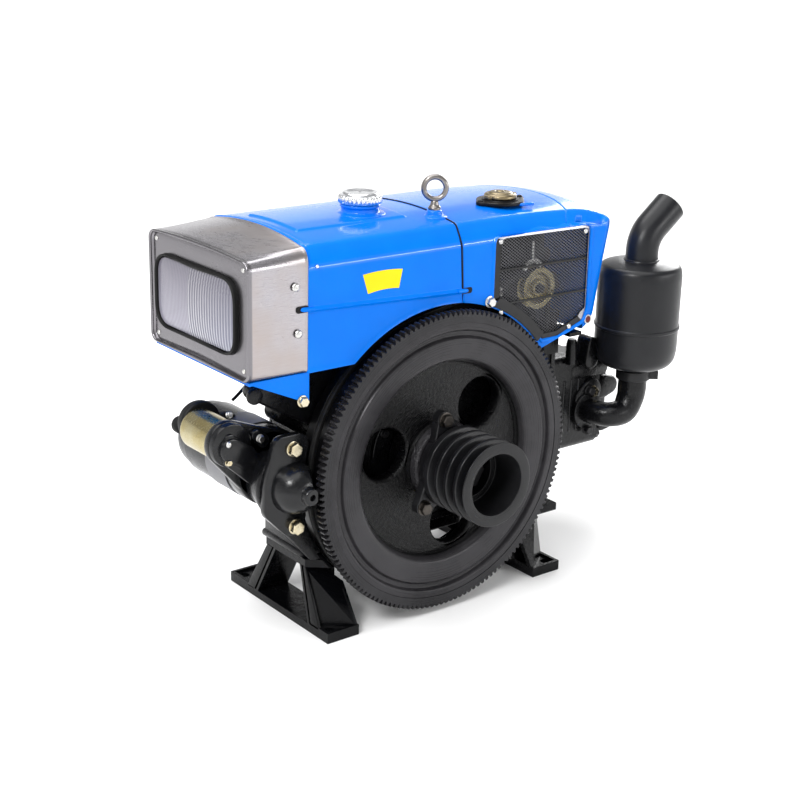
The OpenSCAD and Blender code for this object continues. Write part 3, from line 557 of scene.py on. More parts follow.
def tankSkin():
    # columns run along X; each row is a closed section: near wall, crown, far wall, floor, wheel arch
    t = tank
    x = np.unique(np.concatenate([t["x0"] + np.array([0, 0.5, 1.2, 2, 3, 4.2, 5.6, 7, 8.4, 10, 12]),
                                  np.linspace(t["x0"] + 15, t["x1"] - 2, 60),
                                  t["x1"] - np.array([0, 0.4, 1.0]),
                                  *(edge + foldLines for edge in t["panelX"])]))
    low = archHeight(x, t["arch"])
    level = np.unique(np.concatenate([np.linspace(hood["deck"], 480, 14), np.linspace(482, 509, 24),
                                      np.linspace(513, 552, 6), np.linspace(555, hood["side"], 13)]))[:-1]
    top = crownSection()
    worn = 1.5 * (1 - np.sqrt(1 - np.clip((x - t["x1"] + 2) / 2, 0, 1) ** 2)) \
        + 1.2 * (1 - np.sqrt(1 - np.clip((t["x0"] + 2 - x) / 2, 0, 1) ** 2))
    hoop = 1.1 * np.exp(-((x - t["x0"] - 4) / 2.2) ** 2) - 0.9 * np.exp(-((x - t["x0"] - 9) / 1.3) ** 2)
    beadZ = (t["beadZ"] - t["beadFall"] * (x - t["x0"]))[:, None]

    def wall(z, side):  # bead and lip are bell curves of the height; the crease leans the wall in
        bead = t["beadR"] * np.exp(-((z - beadZ) / 2.6) ** 2)
        lip = 1.4 * np.exp(-((z - low[:, None]) / 2.0) ** 2)
        out = bead + lip - shoulderIn(z) - worn[:, None]
        shift = seamShift(z) * np.clip((x - t["x1"] + 40) / 40, 0, 1)[:, None]
        y = hood["y0"] - out if side < 0 else hood["y1"] + out
        return np.stack([x[:, None] + shift, y, z], axis=2)

    near = wall(np.maximum(level[None, :], low[:, None]), -1)
    far = wall(np.broadcast_to(level[::-1], (len(x), len(level))), 1)
    topX = np.broadcast_to(x[:, None], (len(x), len(top)))
    rise = t["panelRise"] * (between(topX, t["panelX"], t["panelSoft"])
                             * between(top[:, 0], t["panelY"], t["panelSoft"]))
    crown = np.stack([topX, np.broadcast_to(top[:, 0], topX.shape),
                      top[:, 1] + rise + (hoop - worn)[:, None]], axis=2)
    inner = np.stack([np.stack([x, 0 * x + t["backY"], 0 * x + hood["deck"]], 1),
                      np.stack([x, 0 * x + t["backY"], low], 1)], axis=1)
    return np.concatenate([near, crown, far, inner], axis=1)


tankShell = Shell()
tankShell.loft(tankSkin())
makePiece("tankSkin", tankShell, "blue_paint", replaces=["fuel_tank"], sharp=40)

# black cord that stands in for the shade in the gap between the two hoods (painted shade): down both walls and
# over the crown
shadeCordZ = np.linspace(496, hood["side"] - 1, 24)
shadeCordWall = np.stack([tank["seamX"] + seamShift(shadeCordZ), hood["y0"] + shoulderIn(shadeCordZ), shadeCordZ], 1)
shadeCordTop = np.insert(crownSection(), 0, tank["seamX"], 1)
shadeCordFar = shadeCordWall[::-1] * [1, -1, 1] + [0, 2 * hoodMiddle, 0]
shadeCordShell = Shell()
shadeCordShell.loft(tube(np.concatenate([shadeCordWall, shadeCordTop, shadeCordFar]), 1.25, 8, (1, 0, 0)))
makePiece("seamShadeCord", shadeCordShell, "black_rubber", sharp=60)
print("tank skin made")

rear = {"outline": [(8.9, 598.0), (170.0, 598.0), (251.0, 594.4), (281.0, 589.6), (300.0, 583.2),
                    (310.0, 577.6), (315.2, 569.0), (316.0, 556.0), (305.0, 499.0), (290.5, 414.0),
                    (281.0, 399.0), (268.0, 391.0)],
        "rounding": [0, 40, 8, 20, 12, 8, 7, 8, 14, 12, 9, 0], "x0": 8.9, "footZ": 378.0,
        "crownFrom": 587.0, "lipOut": 2.0, "lipWidth": 5.0, "seamX": 251.0, "seamBow": 0.0020}
opening = {"left": 73.0, "right": 264.0, "top": 561.5, "topLeft": 564.0, "chamfer": (256.0, 411.0),
           "footRight": (206.0, 394.0), "corner": 9.0, "arch": 248.0}


def resample(points, count):
    # evenly spaced places along a line of points
    p = np.asarray(points, float)
    run = np.concatenate([[0], np.cumsum(np.linalg.norm(np.diff(p, axis=0), axis=1))])
    at = np.linspace(0, run[-1], count)
    return np.stack([np.interp(at, run, p[:, k]) for k in range(p.shape[1])], axis=1)


def hoodPath():
    # the hood's side outline from the seam over the top and down the back, with its inward direction
    line = resample(roundCorners(rear["outline"], rear["rounding"], False, 8), 104)
    near = abs(line[:, 0] - rear["seamX"]) > 4.5
    extra = rear["seamX"] + np.array([-3.6, -2.2, -1.3, -0.6, 0, 0.6, 1.3, 2.2, 3.6])
    top = line[:, 1] > rear["crownFrom"]
    extraZ = np.interp(extra, line[top, 0], line[top, 1])
    line = np.concatenate([line[near & top & (line[:, 0] < rear["seamX"])], np.stack([extra, extraZ], 1),
                           line[near & ((line[:, 0] > rear["seamX"]) | ~top)]])
    ahead = np.gradient(line, axis=0)
    ahead /= np.linalg.norm(ahead, axis=1)[:, None]
    return line, np.stack([ahead[:, 1], -ahead[:, 0]], axis=1)


def hoodTop():
    # over the top the section is the crown's; down the back it turns into a flat face with round corners;
    # a pressed line crosses the top, a bell curve deep, and bows with the square of the place across it
    line, inward = hoodPath()
    section = crownSection()
    y = section[:, 0] - hoodMiddle
    down = hood["crown"] - section[:, 1]
    edge = np.clip((abs(y) - hoodHalf + 20) / (20 - shoulderIn(hood["side"])), 0, 1)
    backY = np.where(edge > 0, np.sign(y) * (hoodHalf - 14 + 14 * np.sin(edge * np.pi / 2)), y)
    backDown = 3 * (y / hoodHalf) ** 2 * (edge == 0) + (3 + 14 * (1 - np.cos(edge * np.pi / 2))) * (edge > 0)
    s = step(-line[:, 1], -585.0, -562.0)[:, None]
    across = y[None] * (1 - s) + backY[None] * s
    drop = down[None] * (1 - s) + backDown[None] * s
    fromSeam = line[:, 0] - rear["seamX"]
    onCrown = line[:, 1] > rear["crownFrom"]
    drop = drop + 1.3 * (np.exp(-fromSeam ** 2) * onCrown)[:, None]
    bow = -rear["seamBow"] * across ** 2 * np.exp(-(fromSeam / 38) ** 2)[:, None] * onCrown[:, None]
    top = line[:, 1] > 575
    ground = line[:, 0][:, None] + bow
    height = np.where(bow != 0, np.interp(ground, line[top, 0], line[top, 1]), line[:, 1][:, None])
    x = ground + inward[:, 0][:, None] * drop
    z = height + inward[:, 1][:, None] * drop
    return np.stack([x, across + hoodMiddle, z], axis=2)


hoodGrid = hoodTop()


def wallOutline(column):
    # outer edge of a side wall in X and Z: top and back follow the crown's last column, then foot, arch, seam
    edge = column[:, [0, 2]]
    turn = int(np.argmax((edge[:, 0] > 290) & (edge[:, 1] < 565)))
    footX = crank["x"] + np.sqrt(tank["arch"] ** 2 - (rear["footZ"] - crank["z"]) ** 2)
    foot = resample([edge[-1], [crank["x"] + 190, rear["footZ"]], [footX, rear["footZ"]]], 22)
    seamX = rear["x0"] + tank["seamLean"] * 86  # where the leaning seam meets the arch
    angle = np.linspace(np.arctan2(rear["footZ"] - crank["z"], footX - crank["x"]),
                        np.arccos((seamX - crank["x"]) / tank["arch"]), 60)
    arch = aroundCrank(tank["arch"], angle)
    seam = resample([arch[-1], [rear["x0"], tank["seamFrom"]], edge[0]], 30)
    return [edge[:turn + 1], edge[turn:], foot, arch, seam]


def grilleEdge(o):
    # the opening's edge in the same five pieces
    a = o["arch"]
    archEnd = np.arccos((o["left"] - crank["x"]) / a)
    archStart = np.arcsin((o["footRight"][1] - crank["z"]) / a)
    angle = np.linspace(archStart, archEnd, 40)
    arch = aroundCrank(a, angle)
    c = o["corner"]
    slope = (o["topLeft"] - o["top"]) / (o["right"] - o["left"])
    top = np.array([[o["left"] + c * 0.3, o["topLeft"] - c * 0.3], [o["left"] + c, o["topLeft"] - c * slope],
                    [o["right"] - c, o["top"] + c * slope], [o["right"] - c * 0.3, o["top"] - c * 0.3]])
    back = np.array([[o["right"] - c * 0.3, o["top"] - c * 0.3], [o["right"], o["top"] - c],
                     [o["right"] + 1.0, 431.0], [o["chamfer"][0] + 4, o["chamfer"][1] + 6], o["chamfer"]])
    foot = np.array([o["chamfer"], o["footRight"], arch[0]])
    seam = np.array([arch[-1], [o["left"], o["topLeft"] - c], [o["left"] + c * 0.3, o["topLeft"] - c * 0.3]])
    return [top, back, foot, arch, seam]


def wallEdge(column):
    # the wall's outline as one ring, its pieces, and which of its points aren't on the crown's column
    pieces = wallOutline(hoodGrid[:, column])
    outer = np.concatenate([piece[:-1] for piece in pieces])
    return outer, pieces, np.arange(len(outer)) >= len(pieces[0]) + len(pieces[1]) - 2


def nearWall():
    # ring between the wall's outline and the opening; near the opening it is flat and swells into a lip
    outer, pieces, free = wallEdge(0)
    inner = np.concatenate([resample(hole, len(piece))[:-1]
                            for hole, piece in zip(grilleEdge(opening), pieces)])
    edgeY = np.concatenate([hoodGrid[:-1, 0, 1], hood["y0"] + shoulderIn(outer[free, 1])])
    w = np.concatenate([np.linspace(0, 0.86, 14), np.linspace(0.88, 1, 14)])[:, None, None]
    flat = outer + (inner - outer) * w
    away = np.linalg.norm(flat - inner, axis=2)
    lip = rear["lipOut"] * (step(-away, -rear["lipWidth"] - 1.6, -rear["lipWidth"] + 0.4)) \
        * (1 - 0.9 * step(-away, -1.6, 0))
    lean = shoulderIn(flat[..., 1]) * step(away, 3.0, 7.5)
    first = (edgeY - hood["y0"] - lean[0])[None] * (1 - w[..., 0]) ** 6
    wall = np.stack([flat[..., 0], hood["y0"] - lip + lean + first, flat[..., 1]], axis=2)
    inward = np.stack([inner[:, 0], np.full(len(inner), hood["y0"] + 4.0), inner[:, 1]], axis=1)[None]
    return np.concatenate([wall, inward])


def farWall():
    # the closed wall: its outline drawn in towards one point, leaning in above the crease
    outer, pieces, free = wallEdge(-1)
    edgeY = np.concatenate([hoodGrid[:-1, -1, 1], hood["y1"] - shoulderIn(outer[free, 1])])
    w = np.linspace(0, 1, 26)[:, None, None]
    flat = outer + (np.array([150.0, 490.0]) - outer) * w
    lean = shoulderIn(flat[..., 1])
    first = (edgeY - hood["y1"] + lean[0])[None] * (1 - w[..., 0]) ** 6
    return np.stack([flat[..., 0], hood["y1"] - lean + first, flat[..., 1]], axis=2)


hoodShell = Shell()
hoodShell.grid(hoodGrid)
hoodShell.grid(nearWall(), closeCols=True)
hoodShell.grid(farWall(), closeCols=True)
makePiece("radiatorHoodSkin", hoodShell, "blue_paint", replaces=["radiator_hood"], wall=1.6, sharp=38)


def louvre(shell, x0, x1, z0):
    # half-round hood over a slot in the far wall: rows along X, the section a quarter circle with closed ends
    t = np.linspace(0, 1, 25)
    swell = np.sqrt(np.clip(1 - (2 * t - 1) ** 8, 0, 1))
    arc = np.linspace(0, np.pi / 2, 7)
    out = 3.2 * np.sin(arc)[None] * swell[:, None]
    z = z0 + 9 - 9 * (1 - np.cos(arc))[None] * np.ones_like(swell)[:, None]
    x = np.broadcast_to((x0 + (x1 - x0) * t)[:, None], out.shape)
    face = np.stack([x, hood["y1"] - 0.6 + out, z[:, ::-1]], 2)
    back = face.copy()
    back[..., 1] = hood["y1"] - 1.0
    shell.loft(np.concatenate([face, back[:, ::-1]], axis=1))


louvreShell = Shell()
for k in range(6):
    louvre(louvreShell, 80.0, 230.0, 440.0 + 19 * k)
makePiece("farLouvres", louvreShell, "blue_paint", sharp=45)
print("radiator hood made")


# Head lamp: housing, seal, ribbed lens and mirror
lamp = {"x0": -355.0, "y": 12.0, "z": 496.0, "width": 214.0, "height": 108.0, "corner": 29.0,
        "frontTop": 583.0, "frontDrop": 4.0, "frontY": (-123.0, 139.0), "panelX": -350.0}


def sectionOutline(y0, y1, foot, side, shoulder, crown, corner, footCorner):
    # closed cross-section in Y and Z: round foot, upright side, round shoulder, shallow crown
    half, middle = (y1 - y0) / 2, (y0 + y1) / 2
    arc = np.linspace(0, np.pi / 2, 9)
    low = np.stack([half - footCorner + footCorner * np.sin(arc), foot + footCorner * (1 - np.cos(arc))], 1)
    high = np.stack([half - corner + corner * np.cos(arc), side + (shoulder - side) * np.sin(arc)], 1)
    across = np.linspace(1, 0, 14)[1:]
    top = np.stack([(half - corner) * across, crown - (crown - shoulder) * across ** 2], 1)
    right = np.concatenate([low, high, top])
    return np.concatenate([right, right[-2::-1] * [-1, 1]]) + [middle, 0]


def lampRows():
    # rings round the lamp's heart: the hood's section blended into the front one, a rolled rim of most of
    # a circle, then the panel round the lens
    front = sectionOutline(*lamp["frontY"], hood["deck"], lamp["frontTop"] - 17,
                           lamp["frontTop"] - lamp["frontDrop"], lamp["frontTop"], 16, 13)
    back = sectionOutline(hood["y0"], hood["y1"], hood["deck"], 566.0, hood["shoulder"] - 1,
                          hood["crown"], 17, 6)
    heart = np.array([lamp["y"], lamp["z"]])
    angle = np.sort(np.concatenate([np.linspace(-np.pi, np.pi, 241)[:-1],
                                    *(np.arctan2(*(o - heart).T[::-1]) for o in (front, back))]))
    angle = angle[np.concatenate([[True], np.diff(angle) > 1e-4])]
    f, b = castOutline(front, heart, angle), castOutline(back, heart, angle)
    ring = castOutline(roundRect(lamp["width"], lamp["height"], lamp["corner"]) + heart, heart, angle)
    steps = [(tank["x0"] + 0.3, b), (tank["x0"] - 1.0, b + 0.2), (tank["x0"] - 3.0, b - 0.9)]
    t = np.linspace(0.05, 0.93, 12)
    steps += [(tank["x0"] + (lamp["x0"] - tank["x0"]) * k, b + (f - b) * k - 0.9) for k in t]
    roll = np.radians(np.linspace(-40, 200, 13))  # the rolled rim: most of a circle
    steps += [(lamp["x0"] + 2.9 - 2.6 * np.sin(a), f - 2.6 + 2.6 * np.cos(a) - 0.2) for a in roll]
    steps += [(lamp["x0"] + 4.6, f - 6.2), (lamp["panelX"] + 1.0, f - 7.4), (lamp["panelX"] + 0.4, f - 9.5)]
    gap = (f - 9.5) - ring
    steps += [(lamp["panelX"], f - 9.5 - gap * k) for k in (0.1, 0.4, 0.7, 0.98)]
    steps += [(lamp["panelX"] + 4, ring + 0.2)]
    rows = [np.stack([np.full(len(angle), x), heart[0] + r * np.cos(angle), heart[1] + r * np.sin(angle)], 1)
            for x, r in steps]
    return np.array(rows), heart


lampGrid, lampHeart = lampRows()
lampShell = Shell()
lampShell.grid(lampGrid, closeCols=True)
makePiece("lampHousing", lampShell, "stainless", replaces=["lamp_box", "lamp_bezel"], wall=1.2, sharp=50)


def ringSolid(profile, outline, heart, steps=160):
    # profile of (inset, depth) carried round an outline in Y and Z
    angle = np.linspace(-np.pi, np.pi, steps, endpoint=False)
    reach = castOutline(outline, heart, angle)
    rows = [np.stack([np.full(steps, x), heart[0] + (reach - d) * np.cos(angle),
                      heart[1] + (reach - d) * np.sin(angle)], 1) for d, x in profile]
    return np.array(rows)


x0 = lamp["x0"]
lampFrame = roundRect(lamp["width"], lamp["height"], lamp["corner"]) + lampHeart
gasketProfile = roundCorners([(-0.5, x0 + 8), (0.2, x0 - 2.0), (2.8, x0 - 3.4), (5.0, x0 - 1.6),
                              (5.6, x0 + 8)], [1, 2.4, 1.6, 1.5, 1], True, 4)
gasketShell = Shell()
gasketShell.grid(ringSolid(gasketProfile, lampFrame, lampHeart), closeRows=True, closeCols=True)
makePiece("lampSurround", gasketShell, "black_rubber", replaces=["lamp_gasket"], sharp=50)


def lensSurface():
    # flutes across the lens: a cosine for the fine upright ribs on the left, the size of a sine for the
    # broad ones on the right, all on a shallow dome that falls with the distance from the middle
    heart = lampHeart
    width, height = lamp["width"] - 10.4, lamp["height"] - 10.4
    rowsY = np.linspace(-1, 1, 181)
    colsZ = np.linspace(-1, 1, 49)
    v, w = np.meshgrid(rowsY, colsZ, indexing="ij")
    outline = roundRect(width, height, 24.5)
    # square to rounded rectangle: each unit square point keeps its direction, scaled to the outline
    angle = np.arctan2(w * height, v * width)
    square = np.maximum(abs(v), abs(w))
    reach = castOutline(outline, np.zeros(2), angle.ravel()).reshape(angle.shape)
    y, z = reach * square * np.cos(angle), reach * square * np.sin(angle)
    dome = 4.6 * (1 - square ** 2.4)
    split = width * 0.06
    bowed = y - split + 5.0 * (z / height) ** 2
    fine = 0.22 * np.cos(2 * np.pi * y / 4.2)
    broad = 0.75 * abs(np.sin(np.pi * bowed / 6.4))
    rib = np.where(y > split, fine, broad) * (1 - step(square, 0.86, 0.96))
    rib += 0.35 * np.sin(2 * np.pi * z / 7.0) * (y < split) * step(z, 24, 30) * (square < 0.93)
    x = x0 + 1.6 - dome - rib
    out = np.stack([x, heart[0] + y, heart[1] + z], axis=2)
    back = np.stack([np.full(x.shape, x0 + 4.2), heart[0] + y, heart[1] + z], axis=2)
    return out, back


lensFront, lensBack = lensSurface()
lensShell = Shell()
lensShell.grid(lensFront)
lensShell.grid(lensBack)
rim = [(slice(None), 0), (-1, slice(None)), (slice(None, None, -1), -1), (0, slice(None, None, -1))]
edge = np.concatenate([lensFront[k][:-1] for k in rim]), np.concatenate([lensBack[k][:-1] for k in rim])
lensShell.grid(np.array(edge), closeCols=True)
makePiece("lampLensRibbed", lensShell, "lamp_lens", replaces=["lamp_glass"], sharp=60)


def bowlRows():
    # deep mirror trough behind the lens: the outline shrinks and falls back to its bottom
    depth = np.linspace(0, 1, 14)
    profile = [((lamp["height"] / 2 - 18) * (1 - np.sqrt(1 - (0.96 * d) ** 2)) + 4.5, x0 + 8.2 + 38 * d)
               for d in depth]
    return ringSolid(profile, lampFrame, lampHeart)


bowlShell = Shell()
bowl = bowlRows()
bowlShell.grid(bowl, closeCols=True)
bowlShell.add(bowl[-1], [list(range(len(bowl[-1])))])
makePiece("lampMirror", bowlShell, "reflector_mirror", replaces=["lamp_reflector"], wall=1.0, sharp=50)
print("lamp made")


# Flywheel, ring gear and pulley, all round the crank's axis
wheel = {"face": -143.0, "back": -75.0, "outer": 219.0, "seat": 212.0, "tip": 230.0, "root": 223.6,
         "teeth": 156, "ringWidth": 20.0, "toothWidth": 14.5, "hub": 62.0, "bore": 28.1,
         "webFront": -121.0, "webBack": -99.0, "webOuter": 148.0, "holePitch": 105.0, "hole": 39.0,
         "holeAt": (45.0, 165.0, 285.0), "beltSeat": 213.0}
axisPoint = (crank["x"], 0.0, crank["z"])
face = wheel["face"]


def webSector(middle):
    # a third of the web with its round hole: front edge, over the hole's rounded lip, to the back edge
    c = np.array([wheel["holePitch"], 0.0])
    arcOut, arcIn = np.radians(np.linspace(-60, 60, 81)), np.radians(np.linspace(60, -60, 41))
    polar = np.array([np.cos(arcOut), np.sin(arcOut)]).T, np.array([np.cos(arcIn), np.sin(arcIn)]).T
    radial = np.linspace(wheel["webOuter"], wheel["hub"], 14)[1:-1, None]
    border = np.concatenate([wheel["webOuter"] * polar[0], radial * polar[0][-1], wheel["hub"] * polar[1],
                             radial[::-1] * polar[0][0]])
    angle = np.unwrap(np.arctan2(border[:, 1] - c[1], border[:, 0] - c[0]))
    angle = np.maximum.accumulate(angle + np.arange(len(angle)) * 1e-4)
    turned = np.array([[np.cos(middle), np.sin(middle)], [-np.sin(middle), np.cos(middle)]])
    ray = np.array([np.cos(angle), np.sin(angle)]).T
    f, b, h = wheel["webFront"], wheel["webBack"], wheel["hole"]
    steps = [(border, f), (border * 0.97 + 0.03 * (c + h * ray), f), (border * 0.4 + 0.6 * (c + h * ray), f)]
    steps += [(c + (h + d) * ray, y) for d, y in (
        (5.6, f), (5.0, f), (3.2, f + 0.4), (1.6, f + 1.4), (0.5, f + 3.0),
        (0, f + 5.0), (0, b - 4.0), (1.2, b - 1.2), (4.0, b), (4.6, b))]
    steps += [(border * 0.97 + 0.03 * (c + h * ray), b), (border, b)]
    return np.array([np.insert(p @ turned + [crank["x"], crank["z"]], 1, y, 1) for p, y in steps])


def rimProfile():
    # from the web's front over the grooved face and the belt's seat to the web's back
    w = wheel
    return roundCorners([
        (w["webOuter"], w["webFront"]), (149.5, -124), (156, -138.5), (188, -141.5), (191.5, -134.8),
        (198.5, -134.8), (201.5, face + 0.6), (w["seat"] - 0.1, face + 0.6), (w["seat"] - 0.1, face + 20),
        (w["outer"], face + 20), (w["outer"], -107), (w["beltSeat"], -103), (w["beltSeat"], -95),
        (w["outer"], -91), (w["outer"], w["back"]), (160, w["back"]), (156, -97),
        (w["webOuter"], w["webBack"])],
        [0, 3, 8, 2.2, 2, 2, 2.2, 0.5, 0.8, 1.2, 1, 1.5, 1.5, 1, 1.5, 2, 4, 0], False, 5)


def hubProfile():
    # from the web's front round the bore to the web's back
    w = wheel
    return roundCorners([
        (w["hub"], w["webFront"]), (61, -124), (58, -139), (w["bore"], -139), (w["bore"], w["back"]),
        (60, w["back"]), (61, -97), (w["hub"], w["webBack"])], [0, 2, 5, 0.5, 0.5, 3, 2, 0], False, 5)


wheelShell = Shell()
for middle in np.radians(wheel["holeAt"]):
    wheelShell.grid(webSector(middle), closeCols=True)
wheelShell.turned(rimProfile(), axisPoint, "y", 240)
wheelShell.turned(hubProfile(), axisPoint, "y", 120)
makePiece("flywheelCast", wheelShell, "wheel_iron", "crank_train", ["flywheel"], sharp=38)


def gearRows():
    # tooth outline as radius over angle, carried through the depths, its tips cut back at both faces;
    # then the seat on the wheel, back to the front face
    n, width = wheel["teeth"], wheel["toothWidth"]
    phase = np.array([0.0, 0.30, 0.42, 0.52, 0.80, 0.90])
    lift = np.array([0.0, 0.0, 0.55, 1.0, 1.0, 0.55])
    angle = ((np.arange(n)[:, None] + phase) * 2 * np.pi / n).ravel()
    lift = np.tile(lift, n)
    rows = []
    for y, top in ((0.0, 0.62), (1.8, 1.0), (width - 1.8, 1.0), (width, 0.62), (width + 0.4, 0.0),
                   (wheel["ringWidth"], 0.0)):
        reach = wheel["root"] + (wheel["tip"] - wheel["root"]) * np.minimum(lift, top)
        rows.append(np.insert(aroundCrank(reach, angle), 1, face + y, 1))
    ends = ((wheel["seat"] + 0.4, 0), (wheel["seat"], wheel["ringWidth"]), (wheel["seat"], 0))
    first, *last = [np.insert(aroundCrank(reach, angle), 1, face + y, 1) for reach, y in ends]
    return np.array([first, *rows, *last])


gearShell = Shell()
gearShell.grid(gearRows(), closeRows=True, closeCols=True)
makePiece("ringGearCut", gearShell, "ring_steel", "crank_train", ["ring_gear"], sharp=30)
print("flywheel and ring gear made")

pulley = {"front": -251.0, "back": -141.0, "radius": 63.0, "bore": 46.0, "boreDepth": 56.0, "pocket": 36.0,
          "grooves": 4, "pitch": 21.0, "first": -241.0, "grooveTop": 7.3, "grooveFoot": 4.0,
          "grooveDepth": 12.5, "lugPitch": 76.0, "lugAt": (105.0, 225.0, 345.0)}


def pulleyProfile():
    # front face, one trapezoid cut for each groove, the necked back, and the stepped bore
    p = pulley
    points = [(p["bore"], p["front"]), (p["radius"], p["front"])]
    for k in range(p["grooves"]):
        y = p["first"] + p["pitch"] * k
        points += [(p["radius"], y - p["grooveTop"]), (p["radius"] - p["grooveDepth"], y - p["grooveFoot"]),
                   (p["radius"] - p["grooveDepth"], y + p["grooveFoot"]), (p["radius"], y + p["grooveTop"])]
    floor = p["front"] + p["boreDepth"]
    points += [(p["radius"], -160), (56, -156), (54, p["back"]), (wheel["bore"], p["back"]),
               (wheel["bore"], -163), (p["pocket"], -163), (p["pocket"], floor), (p["bore"], floor)]
    return roundCorners(points, 1.3, True, 3)


pulleyShell = Shell()
pulleyShell.turned(pulleyProfile(), axisPoint, "y", 128, closed=True)
pulleyBolts = Shell()
for a in np.radians(pulley["lugAt"]):  # three rounded lugs with a bolt each
    side = np.array([-np.sin(a), np.cos(a)])
    out = np.array([np.cos(a), np.sin(a)])
    turn = np.linspace(-np.pi / 2, np.pi / 2, 13)
    tip = pulley["lugPitch"] * out + 13 * (np.cos(turn)[:, None] * out + np.sin(turn)[:, None] * side)
    root = np.array([[38 * out[0] + 30 * side[0], 38 * out[1] + 30 * side[1]],
                     [38 * out[0] - 30 * side[0], 38 * out[1] - 30 * side[1]]])
    flat = np.concatenate([tip, root])
    pulleyShell.loft([np.insert(flat * k + [crank["x"], crank["z"]], 1, y, 1)
                      for y, k in ((-155, 0.97), (-153.6, 1.0), (pulley["back"], 1.0))])
    addBolt(pulleyBolts, (crank["x"] + 77 * out[0], -155.0, crank["z"] + 77 * out[1]), (0, -1, 0), 17, 8)
makePiece("crankPulleyTurned", pulleyShell, "pulley_paint", "crank_train", ["crank_pulley"], sharp=35)
makePiece("pulleyBolts", pulleyBolts, blackBolt, "crank_train")
print("pulley made")


# Exhaust: silencer, tail pipe, elbow and clamp
exhaust = {"x": 395.0, "y": -108.0, "foot": 300.0, "top": 488.0, "radius": 67.0, "pipe": 23.0,
           "portX": 340.0, "portZ": 232.0, "portY": -56.0,
           "tail": 26.0, "lead": 13.0, "bend": 50.0, "tilt": 52.0, "end": 47.0, "wall": 2.5}


def silencerProfile():
    # from the pipe over the domed foot, a swaged band and the domed top to the tail's seat
    r, z, t = exhaust["radius"], exhaust["foot"], exhaust["top"]
    return roundCorners([
        (0, z), (exhaust["pipe"], z), (exhaust["pipe"] + 0.5, z + 8), (r * 0.5, z + 10.5), (r * 0.8, z + 15),
        (r * 0.955, z + 26), (r, z + 44), (r, z + 78), (r + 1.9, z + 79), (r + 1.9, z + 83), (r, z + 84),
        (r, t - 21), (r * 0.955, t - 7.5), (r * 0.6, t - 1.5), (exhaust["tail"] + 3, t - 0.2), (0, t)],
        [0, 1, 3, 6, 10, 10, 8, 1, 1, 1, 1, 9, 9, 10, 2, 0], False, 5)


silencerShell = Shell()
silencerShell.turned(silencerProfile(), (exhaust["x"], exhaust["y"], 0), "z", 128)
makePiece("silencerShell", silencerShell, "silencer_paint", replaces=["silencer_body"], sharp=40)


def tailPath():
    # straight up, an arc over the tilt, then straight on
    tilt = np.radians(np.linspace(0, exhaust["tilt"], 26))
    bend = np.stack([exhaust["bend"] * (1 - np.cos(tilt)), 0 * tilt,
                     exhaust["lead"] + exhaust["bend"] * np.sin(tilt)], 1)
    ahead = np.array([np.sin(tilt[-1]), 0, np.cos(tilt[-1])]) * exhaust["end"]
    path = np.concatenate([[[0, 0, 0]], bend, bend[-1:] + ahead * 0.5, bend[-1:] + ahead])
    return path + [exhaust["x"], exhaust["y"], exhaust["top"] - 0.5]


tailShell = Shell()
path = tailPath()
outerTube = tube(path, exhaust["tail"], 48, (0, 1, 0))
innerTube = tube(path[3:], exhaust["tail"] - exhaust["wall"], 48, (0, 1, 0))
tailShell.loft(np.concatenate([outerTube, innerTube[::-1]]))
weld = [(exhaust["tail"] + d, z) for d, z in ((-1, 0), (2.6, 0.2), (1.8, 2.2), (-1, 3.4))]
tailShell.turned(weld, (exhaust["x"], exhaust["y"], exhaust["top"] - 0.6), "z", 64, closed=True)
makePiece("tailPipe", tailShell, "silencer_paint", replaces=["silencer_outlet"], sharp=40)

elbowPath = smoothPath([(exhaust["portX"], exhaust["portY"], exhaust["portZ"]),
                        (exhaust["portX"] + 1, -78, exhaust["portZ"]),
                        (exhaust["portX"] + 14, -102, exhaust["portZ"] + 0.5),
                        (exhaust["portX"] + 38, -109, exhaust["portZ"] + 5),
                        (exhaust["x"] - 3, -108.5, exhaust["portZ"] + 26),
                        (exhaust["x"], -108, exhaust["portZ"] + 46),
                        (exhaust["x"], -108, exhaust["foot"] - 1)], 10)
swell = np.interp(np.linspace(0, 1, len(elbowPath)), [0, 0.3, 0.6, 0.8, 1], [20, 20, 22, 23.5, 23])
elbowShell = Shell()
elbowShell.loft(tube(elbowPath, swell, 40, (0.3, 0.8, -0.5)))
flange = roundCorners([(0, -10), (30.5, -10), (30.5, 0), (0, 0)], [0, 2, 1, 0], False, 3)
elbowShell.turned(flange, (exhaust["portX"], exhaust["portY"], exhaust["portZ"]), "y", 48)
makePiece("exhaustElbowCast", elbowShell, "black_casting", replaces=["exhaust_elbow"], sharp=40)
clampShell = Shell()
ringCut = roundCorners([(exhaust["pipe"] + d, z) for d, z in ((0.1, -10), (5, -10), (5, 6), (0.1, 6))],
                       1.4, True, 3)
clampShell.turned(ringCut, (exhaust["x"], exhaust["y"], exhaust["foot"]), "z", 64, closed=True)
a = np.radians(-40)
out, side = np.array([np.cos(a), np.sin(a)]), np.array([-np.sin(a), np.cos(a)])
for s in (-1, 1):  # the clamp's two ears
    flat = np.array([far * out + s * off * side for far, off in ((26, 3), (40, 3), (40, 9), (24, 10))])
    flat += [exhaust["x"], exhaust["y"]]
    clampShell.loft([np.insert(flat, 2, exhaust["foot"] + z, 1) for z in (-9, 5)])
makePiece("silencerClamp", clampShell, "dark_steel", replaces=["exhaust_clamp"], bevel=0.6, sharp=35)
print("exhaust made")


# Grille: frame, woven wire and what stands behind it
grille = {"front": -120.6, "back": -118.2, "meshY": -117.2, "wire": 1.25, "cellWide": 6.6, "cellHigh": 4.7,
          "bars": ((511.6, 509.4), (459.8, 458.4)), "barHigh": 3.4}
frameIn = {"left": 86.0, "right": 258.0, "top": 554.5, "topLeft": 557.5, "chamfer": (248.0, 419.0),
           "footRight": (203.0, 402.0), "corner": 7.0, "arch": 254.0}


